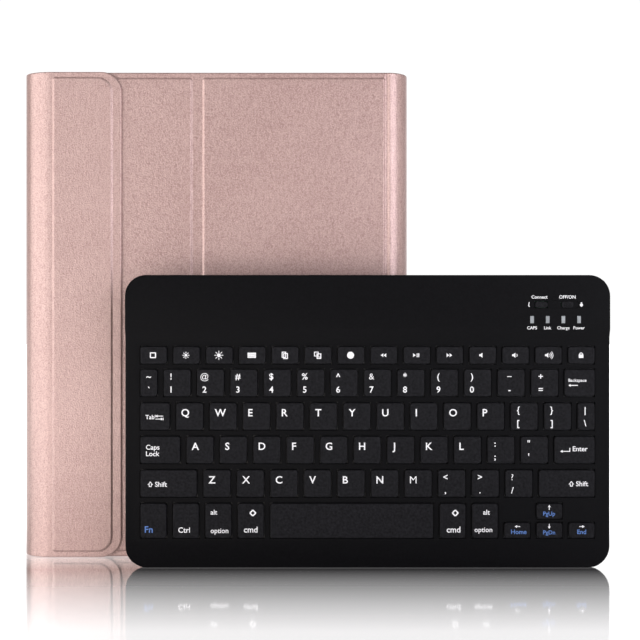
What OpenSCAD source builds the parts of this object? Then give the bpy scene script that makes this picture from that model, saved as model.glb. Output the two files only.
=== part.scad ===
// Tablet keyboard case: a folding leather folio that holds a tablet, and its separate keyboard.
// The closed folio stands on its bottom edge, and the keyboard stands upright in front of it.
// +X is to the right, +Y is away from the viewer and +Z is up. The origin is on the ground,
// under the middle of the whole set. Lengths are in millimetres.

/* [Folio] */
// Width of the closed folio, from its closure strip to its spine
folio_w = 207; // [205:1:210]
// Height of the folio
folio_h = 260; // [258:1:266]
// Thickness of a covered panel, with its leather, board and lining
panel_t = 2.4; // [2.2:0.1:2.8]
// Thickness of the leather alone
leather_t = 0.6; // [0.5:0.05:0.7]
// Thickness of the lining alone
lining_t = 0.4; // [0.3:0.05:0.5]
// Height of a board's pressed outline above the leather around it
emboss = 0.4; // [0.2:0.05:0.4]
// Leather margin between a board's outline and the folio's top and bottom edges
margin = 2.7; // [2:0.1:4]
// Leather margin beside a crease
crease_margin = 0.9; // [0.8:0.1:1.2]
// Distance from the folio's left edge to the stand fold
fold_x = 93.9; // [90:0.1:98]
// Width of the soft gutter at the stand fold
gutter_w = 5.2; // [4:0.2:8]

/* [Closure flap] */
// Distance from the folio's left edge to the flap's free edge
flap_reach = 53.4; // [48:0.2:56]
// Thickness of the flap
flap_t = 1.9; // [1.8:0.1:2.2]
// Free space between the flap and the panel that it covers
flap_gap = 0.2; // [0.1:0.1:0.4]
// Leather margin between the flap's board and its free edge
flap_margin = 4.6; // [4:0.2:7]
// Radius of the flap's free corners
flap_corner = 11; // [8:1:14]

/* [Tablet tray] */
// Width of the tablet that the tray holds
tablet_w = 174.1; // [173:0.1:174.5]
// Height of the tablet, which stands on its short edge
tablet_h = 250.6; // [248:0.1:251]
// Thickness of the tablet
tablet_t = 7.5; // [6.5:0.1:7.5]
// Thickness of the tray's walls
tray_wall = 2; // [1.6:0.1:2]
// Radius of the camera opening
camera_r = 5.5; // [4:0.5:6]

/* [Keyboard] */
// Width of the keyboard
keyboard_w = 248; // [247:1:252]
// Depth of the keyboard, which is its height here
keyboard_d = 150; // [149:1:152]
// Radius of its corners
keyboard_corner = 10.7; // [9:0.1:12]
// Height of the key deck above the feet's soles
deck_z = 4.9; // [4.8:0.1:5]
// Height of the raised rear band above the feet's soles
band_z = 6.5; // [6.4:0.1:7]
// Depth of the raised rear band
band_d = 28.9; // [28:0.1:29.5]
// Distance that the keyboard stands in front of the folio
keyboard_gap = 27; // [27:1:40]
// Distance from the folio's left edge to the keyboard's
keyboard_shift = 60; // [50:1:70]

/* [Keys] */
// Gap between two keys
key_gap = 3.1; // [2.8:0.1:3.2]
// Height of a letter key
key_h = 14.05; // [13.8:0.05:14.2]
// Height of a key in the top function row
function_key_h = 9; // [8.6:0.1:9.2]
// Height of a key in the bottom row
space_row_h = 17.9; // [17.5:0.1:18.2]
// Height of a half-height arrow key
arrow_h = 8.1; // [7.8:0.1:8.2]
// How far a key travels
key_travel = 1.5; // [1.2:0.1:1.5]
// Free space around a key in its window
key_clearance = 0.3; // [0.2:0.05:0.4]

/* [Hidden] */
$fn = 64;
leather = "#CDAEA9";
lining = "#B9A29E";
board = "#C9B893";
steel = "#B8BABD";
magnet = "#8E9094";
black = "#1B1B1D";
key_black = "#29292B";
past = 1; // how far a cut runs past a face

// Depths in the folio, from the outer face of its front panels, at 0, to its back
tray_y = panel_t + 0.2;
tray_floor = 1.3;
tray_lip = 0.6;
tray_rim_y = tray_y + tray_floor + tablet_t + 0.3;
bay_t = 8.3;
folio_t = tray_rim_y + bay_t + panel_t;
spine_r = folio_t / 2;
spine_x = folio_w - spine_r;
flap_y = -flap_t - flap_gap;
strip_r = (folio_t - flap_y) / 2;
strip_x = strip_r;
board_top = folio_h - margin;
lining_top = folio_h - margin / 2;

// Tray, round the tablet with a little clearance
tablet_clearance = 0.5;
tray_in_w = tablet_w + 2 * tablet_clearance;
tray_in_h = tablet_h + 2 * tablet_clearance;
tray_w = tray_in_w + 2 * tray_wall;
tray_h = tray_in_h + 2 * tray_wall;
tray_x = strip_x + 1.7;
tray_z = (folio_h - tray_h) / 2;
tray_corner = 9;
camera_x = tray_x + tray_wall + 12;
camera_z = tray_z + tray_h - tray_wall - 12;

// Closure magnets, and the steel plates that they hold to
latch_x = 35;
latch_w = 8;
latch_h = 30;
latch_t = 0.8;
latch_z = [35, 115, 185];

// The whole set, in the folio's own frame, and the step to the part's origin
keyboard_front = -keyboard_gap - band_z;
origin_shift = [-(keyboard_shift + keyboard_w) / 2, -(keyboard_front + folio_t) / 2, 0];

// Heights in the keyboard, lying on its feet at 0
foot_t = 0.6;
cover_t = 0.8;
floor_z = foot_t + cover_t;
split_z = 2.2;
deck_t = 1;
wall_t = 1.5;
lip_z = 3.4;
lip_d = 12.6;
band_slope = 3.6;
band_y = keyboard_d - band_d;
plate_z = 1.5;
plate_t = 0.3;
membrane_z = 1.85;
membrane_t = 0.2;
key_top = 6.4;
key_bottom = membrane_z + membrane_t + key_travel + 0.55;
key_skirt = 0.9;
key_roof = 0.8;
key_corner = 0.9;

// Key rows: each has a wide key at one or both ends, and keys of one width between them
field_x = 7.8;
field_w = keyboard_w - 2 * field_x;
row_pitch = key_h + key_gap;
space_row_y = 15.4;
z_row_y = space_row_y + space_row_h + key_gap;
a_row_y = z_row_y + row_pitch;
q_row_y = a_row_y + row_pitch;
number_row_y = q_row_y + row_pitch;
function_row_y = number_row_y + key_h + 2.6;
accent_w = 8.8;
backspace_w = 15.6;
tab_w = 15.2;
backslash_w = 8.9;
caps_w = 20.5;
enter_w = 20.8;
left_shift_w = 29.1;
right_shift_w = 28.7;
modifier_w = 13.5;
cluster_w = 13.4;

// A key is [x, y, width, height] on the deck. fill_w is the width that fills a row with n keys
function fill_w(n, first_w, last_w, ends) =
    (field_w - first_w - last_w - (n + ends - 1) * key_gap) / n;
function row_keys(n, x, y, w, h) = [for (i = [0 : n - 1]) [x + i * (w + key_gap), y, w, h]];
function left_end(w, y) = [field_x, y, w, key_h];
function right_end(w, y) = [field_x + field_w - w, y, w, key_h];
function modifier(i) = [field_x + i * (modifier_w + key_gap), space_row_y, modifier_w, space_row_h];
function cluster_x(i) = field_x + field_w - cluster_w - i * (cluster_w + key_gap);
function cluster(i) = [cluster_x(i), space_row_y, cluster_w, space_row_h];
function arrow(i, y) = [cluster_x(i), y, cluster_w, arrow_h];

function_row = row_keys(14, field_x, function_row_y, fill_w(14, 0, 0, 0), function_key_h);
number_w = fill_w(12, accent_w, backspace_w, 2);
number_row = concat(
    [left_end(accent_w, number_row_y)],
    row_keys(12, field_x + accent_w + key_gap, number_row_y, number_w, key_h)
);
q_w = fill_w(12, tab_w, backslash_w, 2);
q_row = concat(
    row_keys(12, field_x + tab_w + key_gap, q_row_y, q_w, key_h),
    [right_end(backslash_w, q_row_y)]
);
a_w = fill_w(11, caps_w, enter_w, 2);
a_row = row_keys(11, field_x + caps_w + key_gap, a_row_y, a_w, key_h);
z_w = fill_w(10, left_shift_w, right_shift_w, 2);
z_row = row_keys(10, field_x + left_shift_w + key_gap, z_row_y, z_w, key_h);
backspace = right_end(backspace_w, number_row_y);
tab = left_end(tab_w, q_row_y);
caps_lock = left_end(caps_w, a_row_y);
enter = right_end(enter_w, a_row_y);
left_shift = left_end(left_shift_w, z_row_y);
right_shift = right_end(right_shift_w, z_row_y);
space_x = modifier(4)[0];
space = [space_x, space_row_y, cluster_x(4) - key_gap - space_x, space_row_h];
up_arrow = arrow(1, space_row_y + space_row_h - arrow_h);
all_keys = concat(
    function_row, number_row, q_row, a_row, z_row,
    [backspace, tab, caps_lock, enter, left_shift, right_shift, space, up_arrow],
    [for (i = [0 : 3]) modifier(i)],
    [cluster(4), cluster(3), arrow(2, space_row_y), arrow(1, space_row_y), arrow(0, space_row_y)]
);

// Switches and lamps on the raised band
control_y = keyboard_d - 15.1;
recess_x = 207;
recess_w = 25.4;
recess_h = 4.1;
recess_depth = 0.6;
button_x = 212.8;
button_w = 6.4;
button_h = 3.1;
button_travel = 0.5;
switch_x = 226.2;
switch_w = 6;
switch_travel = 2.2;
switch_stem = 2;
lamp_y = keyboard_d - 22.8;
lamp_x = [208, 216, 224, 232];
lamp_w = 1.9;
lamp_h = 3.7;

// Inside the raised band
circuit_z = 1.8;
circuit_t = 0.8;
circuit_x = 146;
circuit_w = 90;
circuit_y = 121.5;
circuit_d = 25;
contact_t = 1.4; // height of the two switch bodies on the board
socket_x = 222;
socket_w = 8;
socket_d = 5.6;
socket_t = 2.6;
battery_x = 28;
battery_w = 84;
battery_d = 24;
battery_t = 3.6;

// Screws, feet and magnets
screw_r = 0.75;
screw_head_r = 1.6;
screw_top = 3.2;
boss_r = 1.9;
screw_places = [
    [10, 8], [85, 8], [163, 8], [238, 8], [9, 139], [118, 143], [141, 143], [239.5, 139]
];
foot_r = 4;
foot_places = [for (x = [24, keyboard_w - 24], y = [14, keyboard_d - 14]) [x, y]];
disc_r = 4;
disc_t = 0.8;
front_magnet_y = 7;
front_magnet_x = [20, keyboard_w - 20];
rear_magnet_y = 131;
rear_magnet_w = 22;
rear_magnet_h = 6;
page_key_x = 40; // where the keyboard's front edge lies on the page

// ---- Shared shapes ----

// Moves the set from the folio's own frame to the part's origin
module placed() {
    translate(origin_shift) children();
}

// Rectangle with four round corners, from its low corner
module round_rect(w, h, r) {
    translate([r, 0]) square([w - 2 * r, h]);
    translate([0, r]) square([w, h - 2 * r]);
    for (x = [r, w - r], y = [r, h - r]) translate([x, y]) circle(r);
}

// Rectangle whose right-hand corners alone are round, from its low corner
module round_end(w, h, r) {
    square([w - r, h]);
    translate([0, r]) square([w, h - 2 * r]);
    for (y = [r, h - r]) translate([w - r, y]) circle(r);
}

// Stands an outline up as a plate that runs from depth y0 back to depth y1
module plate(y0, y1) {
    translate([0, y1, 0]) rotate([90, 0, 0]) linear_extrude(y1 - y0) children();
}

// Upright rectangle from x0 to x1, with the same margin at the top and the bottom
module panel_area(x0, x1, inset) {
    translate([x0, inset]) square([x1 - x0, folio_h - 2 * inset]);
}

// Turns a panel that faces forwards into one that faces backwards, at the folio's back
module at_back() {
    translate([0, folio_t, 0]) mirror([0, 1, 0]) children();
}

// Leather of one panel, turned round the edges of its board, which spans b0 to b1
module panel_leather(x0, x1, b0, b1) {
    difference() {
        union() {
            plate(emboss, panel_t) panel_area(x0, x1, 0);
            plate(0, emboss) panel_area(b0, b1, margin);
        }
        plate(leather_t, panel_t) panel_area(b0 + leather_t, b1 - leather_t, margin + leather_t);
        plate(panel_t - lining_t, panel_t + past) panel_area(x0 + margin / 2, x1 - margin / 2, margin / 2);
    }
}

module panel_board(b0, b1) {
    plate(leather_t, panel_t - lining_t)
        panel_area(b0 + leather_t, b1 - leather_t, margin + leather_t);
}

module panel_lining(x0, x1) {
    plate(panel_t - lining_t, panel_t) panel_area(x0 + margin / 2, x1 - margin / 2, margin / 2);
}

// Camera opening, through everything between depths y0 and y1
module camera_bore(y0, y1) {
    plate(y0, y1) translate([camera_x, camera_z]) circle(camera_r);
}

// Half-round wrap about an upright axis, between two radii, open towards the panels.
// turn is 0 for the spine and 180 for the closure strip. cut shortens it at both creases
module wrap(r0, r1, z0, z1, turn, cut = 0) {
    translate([0, 0, z0]) rotate(turn) linear_extrude(z1 - z0) intersection() {
        difference() {
            circle(r1);
            circle(r0);
        }
        translate([cut, -r1 - past]) square([r1 + past, 2 * (r1 + past)]);
    }
}

module at_spine() {
    translate([spine_x, spine_r, 0]) children();
}

module at_strip() {
    translate([strip_x, flap_y + strip_r, 0]) children();
}

// Outlines of the magnets or plates of the closure
module latch_area() {
    for (z = latch_z) translate([latch_x, z]) square([latch_w, latch_h]);
}

// Outlines of the magnets that hold the closed keyboard to the page
module page_magnet_area() {
    for (x = front_magnet_x)
        translate([page_key_x + front_magnet_y, (folio_h - keyboard_w) / 2 + x]) circle(disc_r);
    translate([page_key_x + rear_magnet_y, folio_h / 2])
        square([rear_magnet_h, rear_magnet_w], center = true);
}

// ---- Leg panel: the right half of the front, with the stand leg ----

leg_board_x0 = fold_x + gutter_w / 2;
leg_board_x1 = spine_x - crease_margin;

module leg_skin() {
    color(leather) panel_leather(fold_x, spine_x, leg_board_x0, leg_board_x1);
}

module leg_board() {
    color(board) panel_board(leg_board_x0, leg_board_x1);
}

module leg_lining() {
    color(lining) panel_lining(fold_x, spine_x);
}

// ---- Tablet panel: the left part of the front, which carries the tray ----

tablet_panel_x0 = strip_x + 1.3;
tablet_board_x0 = tablet_panel_x0 + 0.4;
tablet_board_x1 = fold_x - gutter_w / 2;

module tablet_panel_skin() {
    color(leather) difference() {
        panel_leather(tablet_panel_x0, fold_x, tablet_board_x0, tablet_board_x1);
        camera_bore(-past, panel_t);
    }
}

module tablet_panel_board() {
    color(board) difference() {
        panel_board(tablet_board_x0, tablet_board_x1);
        camera_bore(0, panel_t);
        plate(0, leather_t + latch_t) latch_area();
    }
}

module tablet_panel_lining() {
    color(lining) difference() {
        panel_lining(tablet_panel_x0, fold_x);
        camera_bore(0, panel_t + past);
    }
}

// Steel plates that the flap's magnets hold to
module closure_plates() {
    color(steel) plate(leather_t, leather_t + latch_t) latch_area();
}

// Film that glues the tray to the tablet panel alone, so the rest of the tray can lift
module tray_adhesive() {
    color("#E6E0D8") difference() {
        plate(panel_t, tray_y) translate([tray_x + 8, tray_z + 8])
            square([fold_x - gutter_w - tray_x - 8, tray_h - 16]);
        plate(panel_t - past, tray_y + past) translate([camera_x, camera_z]) circle(camera_r + 2);
    }
}

// Openings in the tray's walls: their lengths, and the depths that they run between
port_w = 14;
speaker_w = 20;
speaker_x = 50;
power_w = 16;
volume_w = 24;
volume_drop = 40;
port_y0 = tray_y + tray_floor + 1;
port_y1 = tray_rim_y - 1.4;

module tray_port(x, z, w, h) {
    translate([x - w / 2, port_y0, z - h / 2]) cube([w, port_y1 - port_y0, h]);
}

// Rubbery tray with a snap-in lip
module tablet_tray() {
    mid_x = tray_x + tray_w / 2;
    reach = 3 * tray_wall;
    color("#D3B7B0") difference() {
        plate(tray_y, tray_rim_y + tray_lip) translate([tray_x, tray_z])
            round_rect(tray_w, tray_h, tray_corner + tray_wall);
        plate(tray_y + tray_floor, tray_rim_y) translate([tray_x + tray_wall, tray_z + tray_wall])
            round_rect(tray_in_w, tray_in_h, tray_corner);
        plate(tray_rim_y - past, tray_rim_y + tray_lip + past)
            translate([tray_x + tray_wall + tray_lip, tray_z + tray_wall + tray_lip])
            round_rect(tray_in_w - 2 * tray_lip, tray_in_h - 2 * tray_lip, tray_corner - tray_lip);
        camera_bore(tray_y - past, tray_y + tray_floor + past);
        tray_port(mid_x, tray_z, port_w, reach);
        for (z = [tray_z, tray_z + tray_h], x = [mid_x - speaker_x, mid_x + speaker_x])
            tray_port(x, z, speaker_w, reach);
        tray_port(mid_x, tray_z + tray_h, power_w, reach);
        tray_port(tray_x, tray_z + tray_h - volume_drop, reach, volume_w);
    }
}

// ---- Spine ----

module spine_skin() {
    color(leather) at_spine() difference() {
        wrap(spine_r - panel_t + lining_t, spine_r, 0, folio_h, 0);
        wrap(spine_r - panel_t, spine_r - leather_t, margin, board_top, 0, crease_margin);
    }
}

module spine_stiffener() {
    color(board) at_spine()
        wrap(spine_r - panel_t + lining_t, spine_r - leather_t, margin, board_top, 0, crease_margin);
}

module spine_lining() {
    color(lining) at_spine()
        wrap(spine_r - panel_t, spine_r - panel_t + lining_t, margin / 2, lining_top, 0, 0.2);
}

// ---- Page: the back cover that the closed keyboard lies on ----

page_board_x0 = strip_x + crease_margin;
page_board_x1 = spine_x - crease_margin;

module page_skin() {
    color(leather) at_back() panel_leather(strip_x, spine_x, page_board_x0, page_board_x1);
}

module page_board() {
    color(board) at_back() difference() {
        panel_board(page_board_x0, page_board_x1);
        plate(panel_t - lining_t - disc_t, panel_t) page_magnet_area();
    }
}

module page_lining() {
    color(lining) at_back() panel_lining(strip_x, spine_x);
}

module page_magnets() {
    color(magnet) at_back() plate(panel_t - lining_t - disc_t, panel_t - lining_t) page_magnet_area();
}

// ---- Closure strip, from the page's free edge round to the front ----

module strip_skin() {
    color(leather) at_strip() wrap(strip_r - flap_t + lining_t, strip_r, 0, folio_h, 180);
}

module strip_lining() {
    color(lining) at_strip()
        wrap(strip_r - flap_t, strip_r - flap_t + lining_t, margin / 2, lining_top, 180, 0.2);
}

// ---- Closure flap ----

flap_board_x0 = strip_x + 4;
flap_board_x1 = flap_reach - flap_margin;
flap_skin_y = flap_y + emboss;
flap_board_y = flap_y + leather_t;
flap_back_y = flap_y + flap_t;

module flap_outline(x0, x1, inset, r) {
    translate([x0, inset]) round_end(x1 - x0, folio_h - 2 * inset, r);
}

module flap_skin() {
    color(leather) difference() {
        union() {
            plate(flap_skin_y, flap_back_y) flap_outline(strip_x, flap_reach, 0, flap_corner);
            plate(flap_y, flap_skin_y)
                flap_outline(flap_board_x0, flap_board_x1, margin, flap_corner - margin);
        }
        plate(flap_board_y, flap_back_y) flap_outline(
            flap_board_x0 + leather_t, flap_board_x1 - leather_t,
            margin + leather_t, flap_corner - margin - leather_t
        );
        plate(flap_back_y - lining_t, flap_back_y + past)
            flap_outline(strip_x + margin / 2, flap_reach - margin, margin, flap_corner - margin);
    }
}

module flap_board() {
    color(board) difference() {
        plate(flap_board_y, flap_back_y - lining_t) flap_outline(
            flap_board_x0 + leather_t, flap_board_x1 - leather_t,
            margin + leather_t, flap_corner - margin - leather_t
        );
        plate(flap_back_y - lining_t - latch_t, flap_back_y) latch_area();
    }
}

module flap_lining() {
    color(lining) plate(flap_back_y - lining_t, flap_back_y)
        flap_outline(strip_x + margin / 2, flap_reach - margin, margin, flap_corner - margin);
}

module flap_magnets() {
    color(magnet) plate(flap_back_y - lining_t - latch_t, flap_back_y - lining_t) latch_area();
}

// ---- Keyboard, drawn lying on its feet with its front edge along X, then stood up ----

module stand_up() {
    translate([keyboard_shift, -keyboard_gap, 0]) rotate([90, 0, 0]) children();
}

// Solid with the keyboard's side profile, set in by inset all round and lowered by drop
module deck_solid(inset, drop, z0) {
    profile = [
        [0, z0], [0, lip_z - drop], [lip_d, deck_z - drop], [band_y - band_slope, deck_z - drop],
        [band_y, band_z - drop], [keyboard_d, band_z - drop], [keyboard_d, z0]
    ];
    intersection() {
        translate([inset, inset, z0]) linear_extrude(band_z - z0)
            round_rect(keyboard_w - 2 * inset, keyboard_d - 2 * inset, keyboard_corner - inset);
        rotate([90, 0, 90]) linear_extrude(keyboard_w) polygon(profile);
    }
}

module key_windows() {
    c = key_clearance;
    translate([0, 0, deck_z - deck_t - past]) linear_extrude(deck_t + 2 * past)
        for (k = all_keys) translate([k[0] - c, k[1] - c]) square([k[2] + 2 * c, k[3] + 2 * c]);
}

// Shallow recess for the two controls, and the holes in its floor
module control_cuts() {
    slot = switch_stem + switch_travel + 0.4;
    through = deck_t + 2 * past;
    translate([recess_x, control_y - recess_h / 2, band_z - recess_depth])
        linear_extrude(past) round_rect(recess_w, recess_h, recess_h / 2 - 0.05);
    translate([button_x - button_w / 2 - 0.2, control_y - button_h / 2 - 0.2, band_z - through + past])
        cube([button_w + 0.4, button_h + 0.4, through]);
    translate([switch_x + switch_stem / 2 + 0.2 - slot, control_y - 1, band_z - through + past])
        cube([slot, 2, through]);
}

module lamp_shapes(z0, z1) {
    for (x = lamp_x)
        translate([x - lamp_w / 2, lamp_y - lamp_h / 2, z0]) cube([lamp_w, lamp_h, z1 - z0]);
}

module keyboard_top_cover() {
    color(black) stand_up() difference() {
        union() {
            difference() {
                deck_solid(0, 0, split_z);
                deck_solid(wall_t, deck_t, split_z - past);
            }
            intersection() {
                deck_solid(wall_t / 2, deck_t / 2, floor_z);
                for (p = screw_places)
                    translate([p[0], p[1], floor_z]) cylinder(h = band_z, r = boss_r);
            }
        }
        key_windows();
        control_cuts();
        lamp_shapes(band_z - deck_t - past, band_z + past);
        translate([socket_x - socket_w / 2, keyboard_d - wall_t - past, circuit_z + circuit_t])
            cube([socket_w, wall_t + 2 * past, socket_t]);
        for (p = screw_places)
            translate([p[0], p[1], floor_z - past])
                cylinder(h = screw_top - floor_z + past, r = screw_r + 0.05);
    }
}

module keyboard_bottom_cover() {
    rib = 1.2;
    color(black) stand_up() difference() {
        union() {
            translate([0, 0, foot_t]) linear_extrude(cover_t)
                round_rect(keyboard_w, keyboard_d, keyboard_corner);
            translate([0, 0, floor_z]) linear_extrude(split_z - floor_z) difference() {
                round_rect(keyboard_w, keyboard_d, keyboard_corner);
                translate([wall_t, wall_t]) round_rect(
                    keyboard_w - 2 * wall_t, keyboard_d - 2 * wall_t, keyboard_corner - wall_t
                );
            }
            for (y = [circuit_y + 2, circuit_y + circuit_d - 2 - rib])
                translate([circuit_x, y, floor_z]) cube([circuit_w, rib, circuit_z - floor_z]);
        }
        for (p = screw_places) translate([p[0], p[1], foot_t]) {
            cylinder(h = cover_t / 2, r = screw_head_r + 0.1);
            cylinder(h = cover_t + past, r = screw_r + 0.25);
        }
    }
}

// Sheet under all the keys, which reaches past them by the same distance all round
module key_sheet(z0, z1, reach) {
    translate([field_x - reach, space_row_y - reach, z0]) linear_extrude(z1 - z0)
        square([field_w + 2 * reach, function_row_y + function_key_h - space_row_y + 2 * reach]);
}

module key_backplate() {
    color(steel) stand_up() key_sheet(plate_z, plate_z + plate_t, 1);
}

module membrane_sheet() {
    color("#DCE3E0") stand_up() key_sheet(membrane_z, membrane_z + membrane_t, 0.5);
}

function dome_r(k) = min(2.6, k[2] / 2 - 2.9, k[3] / 2 - 2.05);

// One silicone dome under the middle of every key
module rubber_domes() {
    z0 = membrane_z + membrane_t;
    h = key_top - key_roof - z0;
    color("#E8E8E4") stand_up() for (k = all_keys)
        translate([k[0] + k[2] / 2, k[1] + k[3] / 2, z0]) difference() {
            cylinder(h = h, r1 = dome_r(k), r2 = dome_r(k) * 0.55);
            translate([0, 0, -0.01])
                cylinder(h = h - 0.8, r1 = dome_r(k) - 0.5, r2 = dome_r(k) * 0.55 - 0.4);
        }
}

// Flat ring with square corners, tilted about its middle, as one leg of a key's scissor
module scissor_leg(w, l, bar, tilt) {
    rotate([tilt, 0, 0]) translate([0, 0, -0.25]) linear_extrude(0.5) difference() {
        square([w, l], center = true);
        square([w - 2 * bar, l - 2 * bar], center = true);
    }
}

// Two crossed legs under every key, one inside the other
module key_scissors() {
    bar = 0.7;
    middle = (membrane_z + membrane_t + key_top - key_roof) / 2;
    color("#D8D8D2") stand_up() for (k = all_keys) {
        w = min(10, k[2] - 2 * key_skirt - 0.4);
        l = min(9.5, k[3] - 2 * key_skirt - 0.4);
        translate([k[0] + k[2] / 2, k[1] + k[3] / 2, middle]) {
            scissor_leg(w, l, bar, 14);
            scissor_leg(w - 2 * bar - 0.4, l - 0.8, bar, -14);
        }
    }
}

// Board with its chips, the button's contact and the slide switch's body
module circuit_board() {
    top = circuit_z + circuit_t;
    color("#2E6B45") stand_up() {
        translate([circuit_x, circuit_y, circuit_z]) cube([circuit_w, circuit_d, circuit_t]);
        translate([circuit_x + 14, circuit_y + 8, top]) cube([10, 10, 1.1]);
        translate([circuit_x + 34, circuit_y + 10, top]) cube([6, 6, 0.9]);
        translate([button_x - 2, control_y - 2, top]) cube([4, 4, contact_t]);
        translate([switch_x - 5, control_y - 1.8, top]) cube([9, 3.6, contact_t]);
    }
}

module battery_cell() {
    color("#C3C6CA") stand_up() translate([battery_x, circuit_y, floor_z + 0.1])
        linear_extrude(battery_t) round_rect(battery_w, battery_d, 1.5);
}

module charging_socket() {
    shell = 0.3;
    color(steel) stand_up()
        translate([socket_x - socket_w / 2, keyboard_d - socket_d, circuit_z + circuit_t]) {
            difference() {
                cube([socket_w, socket_d, socket_t]);
                translate([shell, shell * 2, shell])
                    cube([socket_w - 2 * shell, socket_d, socket_t - 2 * shell]);
            }
            translate([socket_w / 2 - 2, shell, socket_t / 2 - 0.3])
                cube([4, socket_d - 1.5, 0.6]);
        }
}

module indicator_lenses() {
    color("#DDE2E6") stand_up() lamp_shapes(circuit_z + circuit_t + 1.2, band_z);
}

module cover_screws() {
    color("#3A3B3D") stand_up() for (p = screw_places) translate([p[0], p[1], foot_t]) difference() {
        union() {
            cylinder(h = cover_t / 2, r = screw_head_r);
            cylinder(h = screw_top - foot_t - 0.1, r = screw_r);
        }
        for (turn = [0, 90]) rotate(turn) translate([-0.8, -0.15, -0.01]) cube([1.6, 0.3, 0.3]);
    }
}

module rubber_feet() {
    color("#333335") stand_up() for (p = foot_places)
        translate([p[0], p[1], 0]) cylinder(h = foot_t, r = foot_r);
}

module keyboard_magnets() {
    color(magnet) stand_up() {
        for (x = front_magnet_x)
            translate([x, front_magnet_y, floor_z]) cylinder(h = disc_t, r = disc_r);
        translate([keyboard_w / 2 - rear_magnet_w / 2, rear_magnet_y - rear_magnet_h / 2, floor_z])
            cube([rear_magnet_w, rear_magnet_h, disc_t]);
    }
}

// Slide switch: a ribbed thumb piece and the stem that reaches the switch
module power_switch_knob() {
    h = recess_depth - 0.05;
    stem_z = circuit_z + circuit_t + contact_t + 0.1;
    color(key_black) stand_up() translate([switch_x, control_y, 0]) difference() {
        union() {
            translate([-switch_w / 2, -button_h / 2, band_z - h]) linear_extrude(h)
                round_rect(switch_w, button_h, 1.2);
            translate([-switch_stem / 2, -0.8, stem_z])
                cube([switch_stem, 1.6, band_z - h - stem_z + 0.1]);
        }
        for (i = [-2 : 2]) translate([i * 0.8 - 0.15, -1, band_z - 0.2]) cube([0.3, 2, past]);
    }
}

// Connect button: it stands in the recess and is pressed through its floor
module connect_button() {
    z0 = circuit_z + circuit_t + contact_t + button_travel + 0.1;
    color(key_black) stand_up()
        translate([button_x - button_w / 2, control_y - button_h / 2, z0])
        linear_extrude(band_z - 0.05 - z0) round_rect(button_w, button_h, 1.2);
}

// ---- Keys ----

// Hollow keycaps, one for each [x, y, width, height]
module keycaps(keys) {
    color(key_black) stand_up() for (k = keys) translate([k[0], k[1], key_bottom]) difference() {
        linear_extrude(key_top - key_bottom) round_rect(k[2], k[3], key_corner);
        translate([key_skirt, key_skirt, -past])
            cube([k[2] - 2 * key_skirt, k[3] - 2 * key_skirt, key_top - key_bottom - key_roof + past]);
    }
}

module function_row_keys() {
    keycaps(function_row);
}

module number_row_keys() {
    keycaps(number_row);
}

module q_row_keys() {
    keycaps(q_row);
}

module a_row_keys() {
    keycaps(a_row);
}

module z_row_keys() {
    keycaps(z_row);
}

module backspace_key() {
    keycaps([backspace]);
}

module tab_key() {
    keycaps([tab]);
}

module caps_lock_key() {
    keycaps([caps_lock]);
}

module enter_key() {
    keycaps([enter]);
}

module left_shift_key() {
    keycaps([left_shift]);
}

module right_shift_key() {
    keycaps([right_shift]);
}

module fn_key() {
    keycaps([modifier(0)]);
}

module ctrl_key() {
    keycaps([modifier(1)]);
}

module left_alt_key() {
    keycaps([modifier(2)]);
}

module left_command_key() {
    keycaps([modifier(3)]);
}

module space_bar() {
    keycaps([space]);
}

module right_command_key() {
    keycaps([cluster(4)]);
}

module right_alt_key() {
    keycaps([cluster(3)]);
}

module left_arrow_key() {
    keycaps([arrow(2, space_row_y)]);
}

module up_arrow_key() {
    keycaps([up_arrow]);
}

module down_arrow_key() {
    keycaps([arrow(1, space_row_y)]);
}

module right_arrow_key() {
    keycaps([arrow(0, space_row_y)]);
}

placed() leg_skin();
placed() leg_board();
placed() leg_lining();
placed() tablet_panel_skin();
placed() tablet_panel_board();
placed() tablet_panel_lining();
placed() closure_plates();
placed() tray_adhesive();
placed() tablet_tray();
placed() spine_skin();
placed() spine_stiffener();
placed() spine_lining();
placed() page_skin();
placed() page_board();
placed() page_lining();
placed() page_magnets();
placed() strip_skin();
placed() strip_lining();
placed() flap_skin();
placed() flap_board();
placed() flap_lining();
placed() flap_magnets();
placed() keyboard_top_cover();
placed() keyboard_bottom_cover();
placed() key_backplate();
placed() membrane_sheet();
placed() rubber_domes();
placed() key_scissors();
placed() circuit_board();
placed() battery_cell();
placed() charging_socket();
placed() indicator_lenses();
placed() cover_screws();
placed() rubber_feet();
placed() keyboard_magnets();
placed() power_switch_knob();
placed() connect_button();
placed() function_row_keys();
placed() number_row_keys();
placed() q_row_keys();
placed() a_row_keys();
placed() z_row_keys();
placed() backspace_key();
placed() tab_key();
placed() caps_lock_key();
placed() enter_key();
placed() left_shift_key();
placed() right_shift_key();
placed() fn_key();
placed() ctrl_key();
placed() left_alt_key();
placed() left_command_key();
placed() space_bar();
placed() right_command_key();
placed() right_alt_key();
placed() left_arrow_key();
placed() up_arrow_key();
placed() down_arrow_key();
placed() right_arrow_key();
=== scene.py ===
import math

import bmesh
import bpy
from mathutils import Matrix, Vector


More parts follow.
